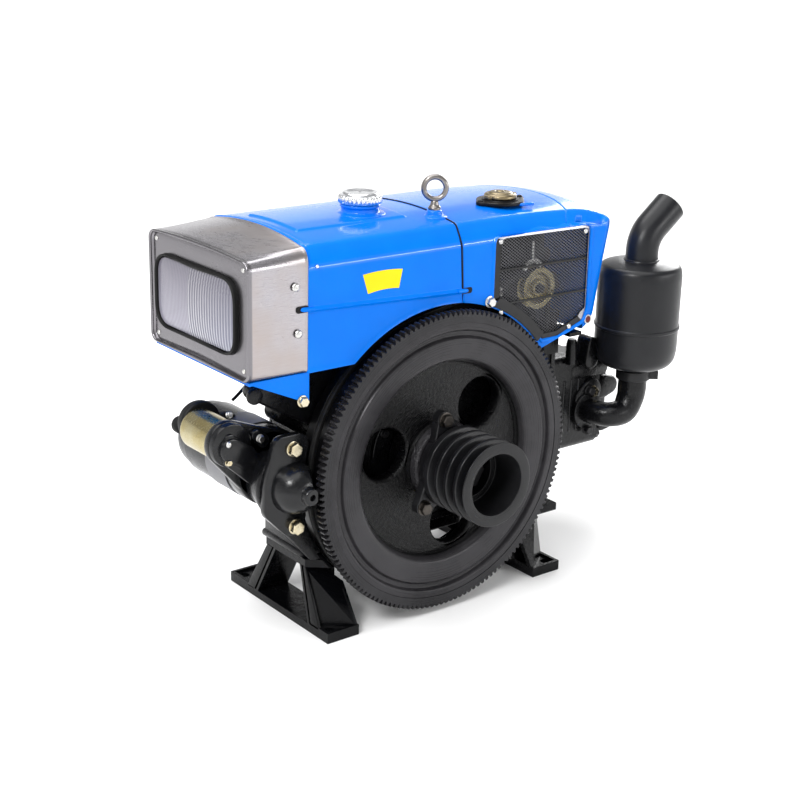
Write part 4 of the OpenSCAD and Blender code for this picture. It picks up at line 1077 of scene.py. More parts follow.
def stripSolid(shell, outer, inner, front, back, lift=0.0):
    # flat strip between two lines of the same length; four corners per row, its inner edge lifted
    shell.loft(np.stack([np.insert(outer, 1, front, 1), np.insert(inner, 1, front - lift, 1),
                         np.insert(inner, 1, back, 1), np.insert(outer, 1, back, 1)], axis=1))


trimIn = {**frameIn, "left": 84.0, "right": 260.6, "top": 557.6, "topLeft": 560.2}
outerEdge, innerEdge = grilleEdge(opening), grilleEdge(trimIn)
archEdge = grilleEdge({**opening, "arch": 238.2, "left": 70.0, "footRight": (211.0, 392.0)})[3]
brightFrame, barsAndShadedFrame = Shell(), Shell()
# painted shade: the frame's foot, left side and arch are dark steel, its top and back bright trim; the bars
# are dark steel too
for k, shell in ((0, brightFrame), (1, brightFrame), (2, barsAndShadedFrame), (4, barsAndShadedFrame)):
    stripSolid(shell, resample(outerEdge[k], 24), resample(innerEdge[k], 24),
               grille["front"], grille["back"], 0.9)
stripSolid(barsAndShadedFrame, resample(archEdge, 40), resample(innerEdge[3], 40), -123.0, grille["back"], 1.5)
for left, right in grille["bars"]:
    bar = np.array([[trimIn["left"], left], [trimIn["right"] + 0.4, right]])
    half = [0, grille["barHigh"] / 2]
    stripSolid(barsAndShadedFrame, bar - half, bar + half, grille["front"] + 1.0, grille["back"] + 0.6)
makePiece("grilleTrim", brightFrame, "bright_trim", replaces=["grille_frame"], bevel=0.4)
makePiece("grilleBarsAndShadedTrim", barsAndShadedFrame, "dark_steel", bevel=0.4)


def wireSegments(outline, angle, gap):
    # parallel lines across an outline: crossings with every side, sorted, taken in pairs
    p = np.asarray(outline, float)
    side = np.roll(p, -1, 0) - p
    ahead, across = np.array([np.cos(angle), np.sin(angle)]), np.array([-np.sin(angle), np.cos(angle)])
    offset = np.arange((p @ across).min() + gap / 2, (p @ across).max(), gap)
    start, slope = p @ across, side @ across
    t = (offset[:, None] - start) / np.where(abs(slope) < 1e-9, 1e-9, slope)
    along = np.where((t >= 0) & (t < 1), p @ ahead + t * (side @ ahead), np.inf)
    along = np.sort(along, axis=1)[:, :4].reshape(-1, 2, 2)
    offset = np.repeat(offset, 2).reshape(-1, 2)
    keep = np.isfinite(along[..., 1]) & (along[..., 1] - along[..., 0] > 1.0)
    ends, offset = along[keep], offset[keep]
    return ends[..., None] * ahead + offset[:, None, None] * across


wireOutline = np.concatenate([resample(piece, 30)[:-1] for piece in grilleEdge(frameIn)])
outwards = wireOutline - wireOutline.mean(0)
wireOutline = wireOutline + outwards / np.linalg.norm(outwards, axis=1)[:, None] * 3.0  # under the frame
slant = np.arctan2(grille["cellHigh"], grille["cellWide"])
spacing = grille["cellWide"] * grille["cellHigh"] / np.hypot(grille["cellWide"], grille["cellHigh"])
wireShell = Shell()  # each wire is one long bar with a diamond section
for sign in (-1, 1):
    ends = wireSegments(wireOutline, sign * slant, spacing)
    ahead = (ends[:, 1] - ends[:, 0]) / np.linalg.norm(ends[:, 1] - ends[:, 0], axis=1)[:, None]
    across = np.stack([-ahead[:, 1], ahead[:, 0]], 1) * grille["wire"] / 2
    y = grille["meshY"] + sign * 0.25
    corners = np.stack([np.concatenate([end + s * across, np.full((len(end), 1), y + d)], 1)
                        for end in (ends[:, 0], ends[:, 1])
                        for s, d in ((-1, 0), (0, -0.45), (1, 0), (0, 0.45))], axis=1)
    box = np.array([[0, 1, 5, 4], [1, 2, 6, 5], [2, 3, 7, 6], [3, 0, 4, 7], [0, 3, 2, 1], [4, 5, 6, 7]])
    faces = (box[None] + 8 * np.arange(len(corners))[:, None, None]).reshape(-1, 4)
    wireShell.add(corners[..., [0, 2, 1]].reshape(-1, 3), faces.tolist())
makePiece("grilleWire", wireShell, "black_wire", replaces=["grille_mesh"], sharp=20)
print("grille made:", len(wireShell.faces), "wire faces")

# Fan: pulley, nut, blades on their hub, and the clip over it
fan = {"x": 177.0, "z": 470.0, "belt": -99.0, "blade": 64.0, "blades": 6}
fanAxis = (fan["x"], fan["belt"], fan["z"])
pulleyTurned = roundCorners([(0, -8), (7, -8), (12, -7.4), (13.5, 0.5), (20, 1.0), (24.5, -7.6), (32, -7.9),
                             (32, -6.9), (24, -3.4), (24, 3.4), (32, 7), (32, 7.8), (0, 7.8)],
                            [0, 0.4, 1.5, 1.5, 1.5, 1.2, 0.5, 0.5, 0.8, 0.8, 0.5, 0.5, 0], False, 4)
fanShell = Shell()
fanShell.turned(pulleyTurned, fanAxis, "y", 72)
makePiece("fanPulleyTurned", fanShell, "gold_zinc", bodyOf["fan_pulley"], ["fan_pulley"], sharp=35)
fanNut = Shell()
addBolt(fanNut, (fan["x"], fan["belt"] - 7.6, fan["z"]), (0, -1, 0), 12, 5, 1.3)
makePiece("fanNut", fanNut, "dark_steel", bodyOf["fan_pulley"], bevel=0.3)


def fanBlade(shell, turn):
    # a twisted, hollowed sheet from hub to tip with rounded tip corners, turned about the fan's axis
    u, v = np.meshgrid(np.linspace(0, 1, 13), np.linspace(-1, 1, 9), indexing="ij")
    reach = 13 + (fan["blade"] - 13) * u
    wide = (9 + 6 * u) * (1 - 0.5 * step(u, 0.86, 1.06))
    pitch = np.radians(38 - 14 * u)
    across, deep = v * wide * np.cos(pitch), v * wide * np.sin(pitch) + 1.6 * (1 - v ** 2)
    c, s = np.cos(turn), np.sin(turn)
    sheet = [np.stack([fan["x"] + reach * c - across * s, fan["belt"] + 18.5 + deep + t,
                       fan["z"] + reach * s + across * c], axis=2) for t in (-0.7, 0.7)]
    shell.loft(np.concatenate([sheet[0], sheet[1][:, ::-1]], axis=1))


bladeShell = Shell()
for k in range(fan["blades"]):
    fanBlade(bladeShell, 2 * np.pi * k / fan["blades"])
hubTurned = roundCorners([(0, 8.4), (15, 8.4), (15, 27), (11, 35.6), (0, 35.6)], [0, 1, 3, 1, 0], False, 4)
bladeShell.turned(hubTurned, fanAxis, "y", 48)
makePiece("fanBlades", bladeShell, "dark_steel", bodyOf["fan_rotor"], ["fan_rotor"],
          sharp=40)

clip = Shell()  # bright arched clip on its stem over the hub
clipAt = np.array([159.0, 500.0])
bow = np.radians(np.linspace(18, 172, 19))[:, None]
arcLine = np.concatenate([21 * np.cos(bow), 19 * np.sin(bow)], axis=1)
stripSolid(clip, clipAt + arcLine, clipAt + arcLine * 0.62, -110.5, -108.5)
stripSolid(clip, np.array([[155.5, 516.0], [155.0, 546.0]]), np.array([[160.5, 516.0], [159.5, 546.0]]),
           -110.2, -108.7)
makePiece("hubClip", clip, boltSteel, bevel=0.4)

# Belt: trapezoid section with a soft back
belt = {"seat": 213.8, "fanSeat": 24.6, "thick": 6.6, "half": 3.3}


def beltRows():
    # outline of two arcs joined by their common tangents, one row per point, carrying the section
    gap = np.hypot(fan["x"] - crank["x"], fan["z"] - crank["z"])
    base = np.arctan2(fan["z"] - crank["z"], fan["x"] - crank["x"])
    bare = np.arccos((belt["seat"] - belt["fanSeat"]) / gap)  # half of the wheel's arc without belt
    big = base + np.linspace(bare, 2 * np.pi - bare, 180)
    small = base + np.linspace(-bare, bare, 40)
    section = roundCorners([(0, -0.62), (1, -1), (1, 1), (0, 0.62)], 0.18, True, 3)
    rows = []
    for angle, wheelAt, seat in ((big, crank, belt["seat"]), (small, fan, belt["fanSeat"])):
        reach = seat + belt["thick"] * section[:, 0]
        y = np.broadcast_to(fan["belt"] + belt["half"] * section[:, 1], (len(angle), len(section)))
        rows.append(np.stack([wheelAt["x"] + reach[None] * np.cos(angle)[:, None], y,
                              wheelAt["z"] + reach[None] * np.sin(angle)[:, None]], axis=2))
    return np.concatenate(rows)


beltShell = Shell()
beltShell.grid(beltRows(), closeRows=True, closeCols=True)
makePiece("fanBeltWoven", beltShell, "belt_rubber", bodyOf["fan_belt"], ["fan_belt"], sharp=40)

# Fuel cap and its neck
cap = {"x": -95.0, "y": -14.0, "seat": 614.0, "flutes": 30, "fluteDeep": 1.9, "neckFoot": 597.2}


def capRows():
    # radius waves round the rim: pressed flutes that fade towards the top and the foot
    angle = np.linspace(0, 2 * np.pi, cap["flutes"] * 12, endpoint=False)
    wave = 0.5 - 0.5 * np.cos(cap["flutes"] * angle)
    profile = [(0, 2, 0), (24, 2, 0), (29, 0.6, 0.2), (31, 0.4, 1), (31.9, 1.6, 1), (31.9, 8.4, 1),
               (31.0, 10.4, 0.7), (29.0, 11.4, 0.1), (27.2, 11.6, 0), (26.6, 13.8, 0), (25.2, 15.4, 0),
               (23.2, 15.9, 0), (20, 15.6, 0), (17, 14.4, 0), (12, 14.0, 0), (4, 14.4, 0), (0, 14.5, 0)]
    rows = []
    for r, z, w in profile:
        reach = r - cap["fluteDeep"] * w * wave
        rows.append(np.stack([reach * np.cos(angle), reach * np.sin(angle), np.full(len(angle), float(z))], 1))
    return np.array(rows) + [cap["x"], cap["y"], cap["seat"]]


capShell = Shell()
capShell.grid(capRows(), closeCols=True)
makePiece("fuelCapFluted", capShell, "chrome_plate", bodyOf["fuel_cap"], ["fuel_cap"], sharp=50)
ventShell = Shell()
ventShell.turned([(0, 0), (1.6, 0), (1.6, 0.5), (0, 0.5)],
                 (cap["x"] + 2, cap["y"] + 3, cap["seat"] + 14.2), "z", 16)
makePiece("capVent", ventShell, "black_fitting", bodyOf["fuel_cap"])
neckTurned = roundCorners([(21, 8), (21, 30), (26.8, 30), (26.8, 17), (29.2, 14.6), (29.2, 12.4),
                           (27.2, 10.5), (27.4, 4.5), (35, 3), (37, 2), (37, 0), (30, -6), (22, -6)],
                          [0.5, 0.5, 0.8, 1, 1, 1, 1, 2.5, 1, 0.6, 0.6, 1, 1], True, 4)
neckShell = Shell()
neckShell.turned(neckTurned, (cap["x"], cap["y"], cap["neckFoot"]), "z", 72, closed=True)
makePiece("fillerNeckTurned", neckShell, "blue_paint", replaces=["filler_neck"], sharp=40)

# Radiator filler: eared plate and brass cap
filler = {"x": 140.0, "y": -50.0, "plate": 600.5}
plateShell = Shell()
turn = np.linspace(0, 2 * np.pi, 96, endpoint=False)
eared = 36 + 9 * np.exp((abs(np.cos(turn)) - 1) / 0.035)  # two ears that fade away from X
plateRows = []
for k, z in ((0.0, -2.5), (0.985, -2.5), (1.0, -1.6), (1.0, 1.8), (0.985, 2.6), (0.92, 3.0), (0.8, 3.0),
             (0.78, 4.4), (0.0, 4.4)):  # share of the outline, height; from 0.8 inwards it is round
    r = np.where(k > 0.8, eared * k, 36 * k)
    plateRows.append(np.stack([filler["x"] + r * np.cos(turn), filler["y"] + r * np.sin(turn),
                               np.full(96, filler["plate"] + z - 2.0)], 1))
plateShell.grid(np.array(plateRows), closeCols=True)
for s in (-1, 1):
    addScrew(plateShell, (filler["x"] + 39 * s, filler["y"], filler["plate"] + 0.8), (0, 0, 1), 4.2, 2.4)
makePiece("fillerPlate", plateShell, "black_fitting", replaces=["radiator_neck"], sharp=35)
capTurned = roundCorners([(0, 0), (24, 0), (25, 1.5), (24.6, 5.4), (21.5, 7.6), (18.5, 7.2), (16.4, 9.6),
                          (9, 10.4), (6.5, 9.2), (5.2, 11.4), (0, 11.8)],
                         [0, 1, 1, 2, 1.5, 1.5, 1.5, 1.2, 1, 1.4, 0], False, 4)
radCap = Shell()
radCap.turned(capTurned, (filler["x"], filler["y"], filler["plate"] + 2.8), "z", 72)
for s in (-1, 1):  # the cap's two grip ears, a lobe pulled out of a flat disc
    lobe = np.linspace(-1, 1, 17)
    reach = 24 + 5.5 * np.sqrt(np.clip(1 - lobe ** 2, 0, 1))
    ang = lobe * 0.34
    line = np.stack([filler["x"] + s * reach * np.cos(ang), filler["y"] + reach * np.sin(ang)], 1)
    back = np.stack([filler["x"] + s * 20 * np.cos(ang), filler["y"] + 20 * np.sin(ang)], 1)
    flat = np.concatenate([line, back[::-1]])
    radCap.loft([np.insert(flat.mean(0) + (flat - flat.mean(0)) * k, 2, filler["plate"] + z, 1)
                 for k, z in ((0.96, 3.0), (1.0, 3.8), (1.0, 7.4), (0.94, 8.6))])
makePiece("radiatorCapPressed", radCap, "cap_brass", bodyOf["radiator_cap"], ["radiator_cap"], sharp=35)

# Lifting eye: a torus, its ring's directions turned about Z, on a collar and a boss
eye = {"x": 0.0, "y": -66.0, "z": 634.0, "ring": 16.1, "tube": 4.05, "turn": -34.0}
a = np.linspace(0, 2 * np.pi, 64, endpoint=False)
b = np.linspace(0, 2 * np.pi, 20, endpoint=False)[None, :, None]
eyeX, eyeY = np.cos(np.radians(eye["turn"])), np.sin(np.radians(eye["turn"]))
outward = np.stack([eyeX * np.cos(a), eyeY * np.cos(a), np.sin(a)], 1)[:, None]
sideways = np.array([-eyeY, eyeX, 0])
torus = eye["ring"] * outward + eye["tube"] * (np.cos(b) * outward + np.sin(b) * sideways)
eyeShell = Shell()
eyeShell.grid(torus + [eye["x"], eye["y"], eye["z"]], closeRows=True, closeCols=True)
collar = roundCorners([(0, 5.5), (8.2, 5.5), (9.2, 9), (9.2, 12.5), (6.6, 15), (5.2, 22), (0, 24)],
                      [0, 1, 1.5, 1.5, 3, 2, 0], False, 5)
eyeShell.turned(collar, (eye["x"], eye["y"], 594.0), "z", 40)
makePiece("liftingEyeForged", eyeShell, "eye_steel", replaces=["lifting_eye"], sharp=50)
bossShell = Shell()
boss = roundCorners([(0, -3), (19, -3), (19, 0.4), (16, 1.8), (12.5, 2.6), (11, 9), (8.6, 10.6), (0, 10.6)],
                    [0, 1, 1.5, 3, 3, 2, 1, 0], False, 5)
bossShell.turned(boss, (eye["x"], eye["y"], 592.6), "z", 48)
makePiece("eyeBoss", bossShell, "blue_paint", sharp=50)
print("caps and eye made")

# Bead pegs and their slots, hood screws, sticker
trim = {"pegRadius": 3.3, "plug": (269.6, 411.0)}


def pegAndSlot(x0, x1, z0, z1, slotEnd, slotWide):
    # a capsule along X that comes out of the bead, and a dark oval behind it: painted shade of the slot
    path = np.linspace([x0, hood["y0"] - 0.9, z0], [x1, hood["y0"] - 0.9, z1], 12)
    radius = trim["pegRadius"] * np.sqrt(np.clip(1 - np.linspace(0, 1, 12) ** 8, 0.001, 1))
    pegs.loft(tube(path, radius, 20, (0, 0.2, 1)))
    half = abs(slotEnd - x1) / 2 + 7
    oval = roundRect(2 * half, slotWide, slotWide / 2, 6) + [slotEnd - np.sign(slotEnd - x0) * half, z1]
    slotShade.loft([np.insert(oval, 1, hood["y0"] + d, 1) for d in (1.2, -0.35)])


pegs, slotShade = Shell(), Shell()
pegAndSlot(2.0, 23.0, 492.4, 491.2, 30.5, 9.0)
pegAndSlot(-250.0, -270.5, 503.2, 504.6, -277.0, 9.6)
ridge = np.linspace([147.0, -83.0, 597.2], [177.0, -87.0, 596.6], 10)
radius = 2.4 * np.sqrt(np.clip(1 - np.linspace(-1, 1, 10) ** 6, 0.01, 1))
pegs.loft(tube(ridge, radius, 16, (0, 0.2, 1)))
makePiece("beadPegs", pegs, "blue_paint", sharp=60)
makePiece("pegSlotShade", slotShade, "black_fitting", sharp=60)

hoodBolts = Shell()
addBolt(hoodBolts, (65.3, hood["y0"], 468.1), (0, -1, 0), 12.5, 6.5, 1.45, 12)
addBolt(hoodBolts, (-244.0, hood["y0"], 561.0), (0, -1, 0.1), 4.2, 2.2, 0)
for x, z in ((82.0, 556.0), (253.5, 552.5), (88.0, 448.2), (229.4, 405.8)):
    addScrew(hoodBolts, (x, grille["front"] - 0.6, z), (0, -1, 0), 4.2, 2.6)
for x, z in ((92.5, 482.0), (93.5, 474.0), (107.0, 450.0), (111.0, 440.5)):
    addScrew(hoodBolts, (x, -113.0, z), (0, -1, 0), 3.6, 2.6)
makePiece("hoodBolts", hoodBolts, boltSteel, sharp=35)
grommet, grommetRing = Shell(), Shell()
plugAt = (trim["plug"][0], hood["y0"], trim["plug"][1])
grommet.turned([(0, -1.6), (4.6, -1.6), (5.4, -0.6), (5.4, 1), (0, 1)], plugAt, "y", 32)
grommetRing.turned(roundCorners([(5.4, -1.4), (7.4, -1.4), (7.4, 0.6), (5.4, 0.6)], 0.5, True, 3),
                   plugAt, "y", 40, closed=True)
makePiece("hoodPlug", grommet, glossPaint("plugRed", (0.10, 0.008, 0.008), 0.4, 0.0))
makePiece("hoodPlugRing", grommetRing, boltSteel)


def addSticker(shell, corners, y):
    # four corners blended across both ways, upper and lower edge bowed by a parabola, half a millimetre thick
    u, v = np.meshgrid(np.linspace(0, 1, 9), np.linspace(0, 1, 9), indexing="ij")
    shares = np.stack([(1 - u) * (1 - v), u * (1 - v), u * v, (1 - u) * v], axis=2)
    flat = shares @ np.array(corners)
    front = np.stack([flat[..., 0], np.full(u.shape, y), flat[..., 1] + 2.2 * 4 * u * (1 - u)], axis=2)
    back = front + [0, 0.5, 0]
    shell.loft(np.concatenate([front, back[:, ::-1]], axis=1))


sticker = Shell()
addSticker(sticker, [(-167.0, 539.0), (-98.5, 539.0), (-104.5, 512.6), (-158.0, 511.0)], hood["y0"] - 0.4)
makePiece("blankSticker", sticker, stickerVinyl)
print("trim made")


# Castings drawn as plates: the hull of a few circles in X and Z, given a depth with rounded edges
def castPlate(shell, circles, y0, y1, edge, steps=96, clear=False):
    # support of a direction: the circle that reaches furthest along it
    c = np.asarray(circles, float)
    angle = np.linspace(0, 2 * np.pi, steps, endpoint=False)
    d = np.stack([np.cos(angle), np.sin(angle)], 1)
    best = np.argmax(c[:, :2] @ d.T + c[:, 2:3], axis=0)
    rows = []
    for inset, y in ((edge, y0), (edge * 0.3, y0 + edge * 0.3), (0, y0 + edge), (0, y1 - edge),
                     (edge * 0.3, y1 - edge * 0.3), (edge, y1)):
        flat = c[best, :2] + (c[best, 2] - inset)[:, None] * d
        rows.append(np.stack([flat[:, 0], np.full(steps, y), flat[:, 1]], 1))
    rows = np.array(rows)
    if clear:  # long straight sides get points of their own, so that they can bend round the wheel
        part = np.linspace(0, 1, 8, endpoint=False)[:, None]
        filled = rows[:, :, None] * (1 - part) + np.roll(rows, -1, axis=1)[:, :, None] * part
        rows = clearWheel(filled.reshape(len(rows), -1, 3))
    shell.loft(rows)


def castPlates(shell, plates):
    # several plates: circles, depth from and to, edge
    for circles, y0, y1, edge in plates:
        castPlate(shell, circles, y0, y1, edge)


def clearWheel(points):
    # whatever would stand in the turning wheel's way is pushed straight out of it: radius kept above a limit
    x, y, z = points[..., 0] - crank["x"], points[..., 1], points[..., 2] - crank["z"]
    limit = np.where(y < -116, 236.6, 228.6)
    grow = np.where(y < -68, np.maximum(limit / np.hypot(x, z), 1), 1)
    return np.stack([crank["x"] + x * grow, y, crank["z"] + z * grow], axis=-1)


starter = {"x": -265.0, "z": 241.0, "motorZ": 254.0, "motor": 55.6, "flange": (-99.0, -87.0),
           "solenoid": (-337.0, 304.0), "can": 29.6, "ring": 31.5,
           "bolts": ((-266.6, 299.6), (-263.0, 182.0)), "terminal": (-333.0, 291.0)}
nose = roundCorners([(0, -139), (4.6, -139), (4.6, -146), (11, -146), (12.4, -144), (12.8, -134.5),
                     (17, -133), (25.5, -127.5), (32, -119.5), (36.2, -109), (38, -97)],
                    [0, 0.4, 0.6, 1.2, 1, 1.5, 3, 6, 6, 6, 0], False, 5)
motorAt, canAt = (starter["x"], starter["motorZ"]), starter["solenoid"]
starterShell = Shell()
starterShell.grid(clearWheel(revolve(np.concatenate([nose, [(0, -97)]]),
                                     (starter["x"], 0, starter["z"]), "y", 96)), closeRows=True)
castPlate(starterShell, [(-281, 302, 18), (-258, 302, 18), (-268, 241, 45), (-294, 216, 20), (-268, 186, 18)],
          *starter["flange"], 1.8, 144, True)
castPlate(starterShell, [(starter["x"], starter["z"], 44.5)], -88, -42, 1.5, 96, True)
castPlate(starterShell, [(*motorAt, 56.5)], -43, -7, 2.5, 128, True)
castPlate(starterShell, [(*motorAt, 54), (*canAt, 33)], -43, -31, 2.5, 128, True)
castPlates(starterShell, (
    ([(*canAt, starter["ring"])], -53, -29, 2.2),
    ([(-342, 300, 17), (-318, 286, 17)], -61, -44, 3.0),
    ([(-342, 314, 9), (-345, 286, 9), (-300, 262, 22)], -57, -42, 3.0),
    ([(-296, 311, 8), (-284, 300, 10)], -52, -40, 2.0)))
makePiece("starterHousingCast", starterShell, "starter_casting", replaces=["starter_housing"], sharp=40)

r = starter["motor"]
motorTurned = [(0, -8), (r - 0.2, -8), (r - 0.2, 20.5), (r, 21.2), (r, 65), (r, 66), (r, 108),
               (54.4, 109), (54.4, 111), (53.4, 112), (52.6, 124), (50.5, 136), (46, 142),
               (20, 143.6), (18, 146), (0, 146)]
motorShell, bandShell = Shell(), Shell()
motorShell.turned(roundCorners(motorTurned, [0, 1, 1, .5, 1, 1, 1, 1, 1, 2, 4, 6, 3, 1, 1, 0], False, 4),
                  (motorAt[0], 0, motorAt[1]), "y", 96)
for a in np.radians((70, 250)):  # the two through bolts at the motor's back
    addBolt(motorShell, (motorAt[0] + 40 * np.cos(a), 140.5, motorAt[1] + 40 * np.sin(a)),
            (0, 1, 0), 9, 4, 1.2)
makePiece("starterMotorShell", motorShell, "starter_paint", replaces=["starter_motor"], sharp=35)
bandShell.turned([(55, -6), (57.0, -6), (57.3, -5.6), (57.3, 46.6), (57.0, 47), (55, 47)],
                 (motorAt[0], 0, motorAt[1]), "y", 96, closed=True)
bandSteel = brushedMetal("bandSteel", (0.2, 0.2, 0.21), 0.4, (1, 30, 1))
makePiece("motorBand", bandShell, bandSteel)

r = starter["can"]
terminalAt = (starter["terminal"][0], 0, starter["terminal"][1])
canShell, endShell, studShell = Shell(), Shell(), Shell()
canShell.turned(roundCorners([(0, -31), (r, -31), (r, 38), (r - 0.8, 40.5), (r - 3.6, 42), (0, 42)],
                             [0, 0.5, 2, 1, 1, 0], False, 4), (canAt[0], 0, canAt[1]), "y", 80)
makePiece("solenoidCan", canShell, "gold_zinc", replaces=["starter_solenoid"], sharp=35)
endShell.turned(roundCorners([(0, 40), (31, 40), (32.6, 44), (31, 56), (24, 64), (10, 66), (0, 66)],
                             [0, 2, 4, 6, 6, 3, 0], False, 5), (canAt[0] + 7, 0, canAt[1] + 5), "y", 72)
castPlate(endShell, [(-318, 300, 16), (-290, 296, 22)], 36, 56, 4)
endShell.turned(roundCorners([(0, 88), (11, 88), (13, 92), (13, 100), (10.5, 104.5), (0, 105)],
                             [0, 2, 3, 3, 2, 0], False, 4), terminalAt, "y", 40)
makePiece("solenoidEnd", endShell, "black_rubber", sharp=40)
studShell.turned([(0, 60), (9.5, 60), (9.5, 82), (7.5, 83.5), (7.5, 90), (0, 90)], terminalAt, "y", 32)
addScrew(studShell, (-347.0, -60.5, 310.0), (0, -1, 0), 4.6, 2.6)
addBolt(studShell, (-291.0, -51.5, 306.0), (0, -1, 0), 9.5, 5, 1.3)
addBolt(studShell, (-316.0, -10.5, 333.0), (0, -1, 0.5), 8, 4, 1.3)
makePiece("starterStuds", studShell, boltSteel, sharp=35)

goldBolts = Shell()
for x, z in starter["bolts"]:
    addBolt(goldBolts, (x, starter["flange"][0], z), (0, -1, 0), 18, 9.5, 1.25, 20)
addBolt(goldBolts, (-346.5, -56.5, 283.0), (0, -1, 0), 8, 4.5, 1.3)
addBolt(goldBolts, (-264.0, -117.0, 374.0), (0, -1, 0), 12.5, 7, 1.35)
addBolt(goldBolts, (350.6, -60.5, 262.0), (0, -1, 0), 15, 8, 1.3, 15)
makePiece("goldBolts", goldBolts, yellowZinc, sharp=35)
print("starter made")

# Castings that keep the solid's shape with rounded edges
topPlate = {"z": 0.099, "y": -0.070, "front": -0.228, "start": -0.073, "slope": -0.82}  # metres


def trimCorner(mesh):
    # vertices of the foot's top plate stand behind a line: y = start + slope (x - front)
    at = np.empty(3 * len(mesh.vertices))
    mesh.vertices.foreach_get("co", at)
    at = at.reshape(-1, 3)
    near = (at[:, 2] > topPlate["z"]) & (at[:, 1] < topPlate["y"])
    line = topPlate["start"] + topPlate["slope"] * (at[:, 0] - topPlate["front"])
    at[near, 1] = np.maximum(at[near, 1], line[near])
    mesh.vertices.foreach_set("co", at.ravel())
    mesh.update()


roundedEdges = {"engine_block": 3.0, "cylinder_head": 6.0, "rocker_cover": 4.0, "front_foot": 2.4,
                "rear_foot": 2.4, "gear_cover": 3.5, "front_cover": 3.0, "oil_sump": 5.0,
                "tank_bracket": 0.9, "hood_bracket": 0.8, "main_bearing_cover": 2.0,
                "injection_pump": 2.0, "air_cleaner": 5.0, "intake_elbow": 2.0, "crankshaft": 0.8}
for node, edge in roundedEdges.items():
    dressed = dressedCopy(node, edge)
    if node == "front_foot":
        trimCorner(dressed.data)

bracketShell = Shell()
castPlate(bracketShell, [(-265, 241, 52), (-219, 125, 12), (-208, 125, 12)], -87, -76, 3, clear=True)
castPlate(bracketShell, [(-221, 126, 9), (-221, 186, 9), (-178, 198, 9), (-178, 126, 9)], -67, 32, 3)
castPlate(bracketShell, [(-226.5, 118.5, 6.4), (-171.5, 118.5, 6.4)], -68, 36, 2.5)
makePiece("starterBracketCast", bracketShell, "black_casting", replaces=["starter_bracket"], sharp=40)

# Standing edges of the front foot's legs: a thin wall between a low and a high span across the engine
legEdges = Shell()
for x0, x1, low, high, z1 in ((-228.0, -223.0, (-110, -84), (-73, -62), 101),
                              (-228.0, -223.0, (58, 84), (8, 28), 101),
                              (-177.5, -172.0, (-131, -120), (-98, -92), 62)):
    legEdges.loft([np.insert(roundCorners([(x0, y0), (x1, y0), (x1, y1), (x0, y1)], 1.5, True, 3), 2, z, 1)
                   for (y0, y1), z in ((low, 13.0), (high, z1))])
makePiece("footEdges", legEdges, "foot_paint", sharp=40)

# Lugs, ribs and bosses on the castings
extra = Shell()
castPlates(extra, (
    ([(-300, 376, 12), (-212, 330, 16), (-176, 392, 16)], -62, -38, 4),
    ([(-307, 374, 12)], -68, -60, 2),
    ([(-232, 322, 14), (-190, 300, 20)], -30, 10, 5),
    ([(350, 262, 22), (330, 252, 16)], -62, -50, 3),
    ([(318, 300, 14), (378, 296, 12)], -58, -20, 5),
    ([(330, 352, 9), (330, 322, 14)], -78, -48, 3),
    ([(398, 190, 12), (410, 190, 10)], -46, -18, 4),
    ([(384, 262, 20), (400, 262, 15)], -58, -18, 5),
    ([(380, 290, 12), (392, 284, 9), (382, 226, 11), (394, 232, 9)], -44, -18, 5)))
for x in (292, 308, 324):  # ribs on the head's side
    castPlate(extra, [(x, 200, 3), (x, 286, 3)], -57, -50, 1.6, 48)
extra.turned(roundCorners([(0, 318), (9, 318), (9, 352), (7, 360), (0, 360)], [0, 1, 2, 1, 0], False, 3),
             (297, -62, 0), "z", 32)
extra.turned(roundCorners([(0, 398), (12, 398), (13, 400), (13, 412), (10, 416), (0, 416)],
                          [0, 1, 1, 2, 1, 0], False, 3), (0, -44, 262), "x", 40)
makePiece("castLugs", extra, "black_casting", sharp=45)

studs = Shell()
for y in (-8, 71):  # rocker cover
    for z in (192, 239, 286):
        addBolt(studs, (411.5, y, z), (1, 0, 0), 12, 7, 1.4)
for y in (-46, 99):  # head
    for z in (180, 310):
        addBolt(studs, (371.5, y, z), (1, 0, 0), 16, 10, 1.3)
for s in (-1, 1):  # exhaust flange
    addBolt(studs, (exhaust["portX"], -63.5, exhaust["portZ"] + s * 33.84), (0, -1, 0), 13, 9, 1.3)
for dx, dz in ((-118, 0), (-96, -90), (20, -96), (130, -90), (156, 12), (76, 104), (-18, 98)):  # gear cover
    addBolt(studs, (crank["x"] + dx, 138.0, crank["z"] + dz), (0, 1, 0), 12, 7, 1.3)
for x, z in aroundCrank(74, np.radians(np.arange(30, 390, 60))):  # main bearing cover
    addBolt(studs, (x, -68.0, z), (0, -1, 0), 10, 5, 1.3)
for y in (-6, 78):  # front cover
    for z in (198, 302):
        addBolt(studs, (-174.0, y, z), (-1, 0, 0), 10, 6, 1.3)
makePiece("blockBolts", studs, "dark_steel", sharp=35)

# A lead above the starter, the injection pipe and the fuel hose
pipes = Shell()
pipeRoutes = (
    (2.4, [(-292, 18, 343), (-280, 20, 350), (-262, 24, 362), (-238, 34, 378), (-214, 40, 398),
           (-205, 42, 410)]),
    (3.0, [(82, 185, 335), (84, 186, 352), (110, 176, 372), (180, 160, 378), (260, 136, 352), (330, 116, 330),
           (350, 100, 312)]),
    (4.2, [(-150, 128, 412), (-140, 150, 380), (-60, 182, 330), (30, 190, 300), (62, 182, 288)]))
for radius, points in pipeRoutes:
    pipes.loft(tube(smoothPath(points, 8), radius, 16, (0.2, 0.9, 0.4)))
makePiece("pipesAndWire", pipes, "black_rubber", sharp=60)
print("castings dressed")

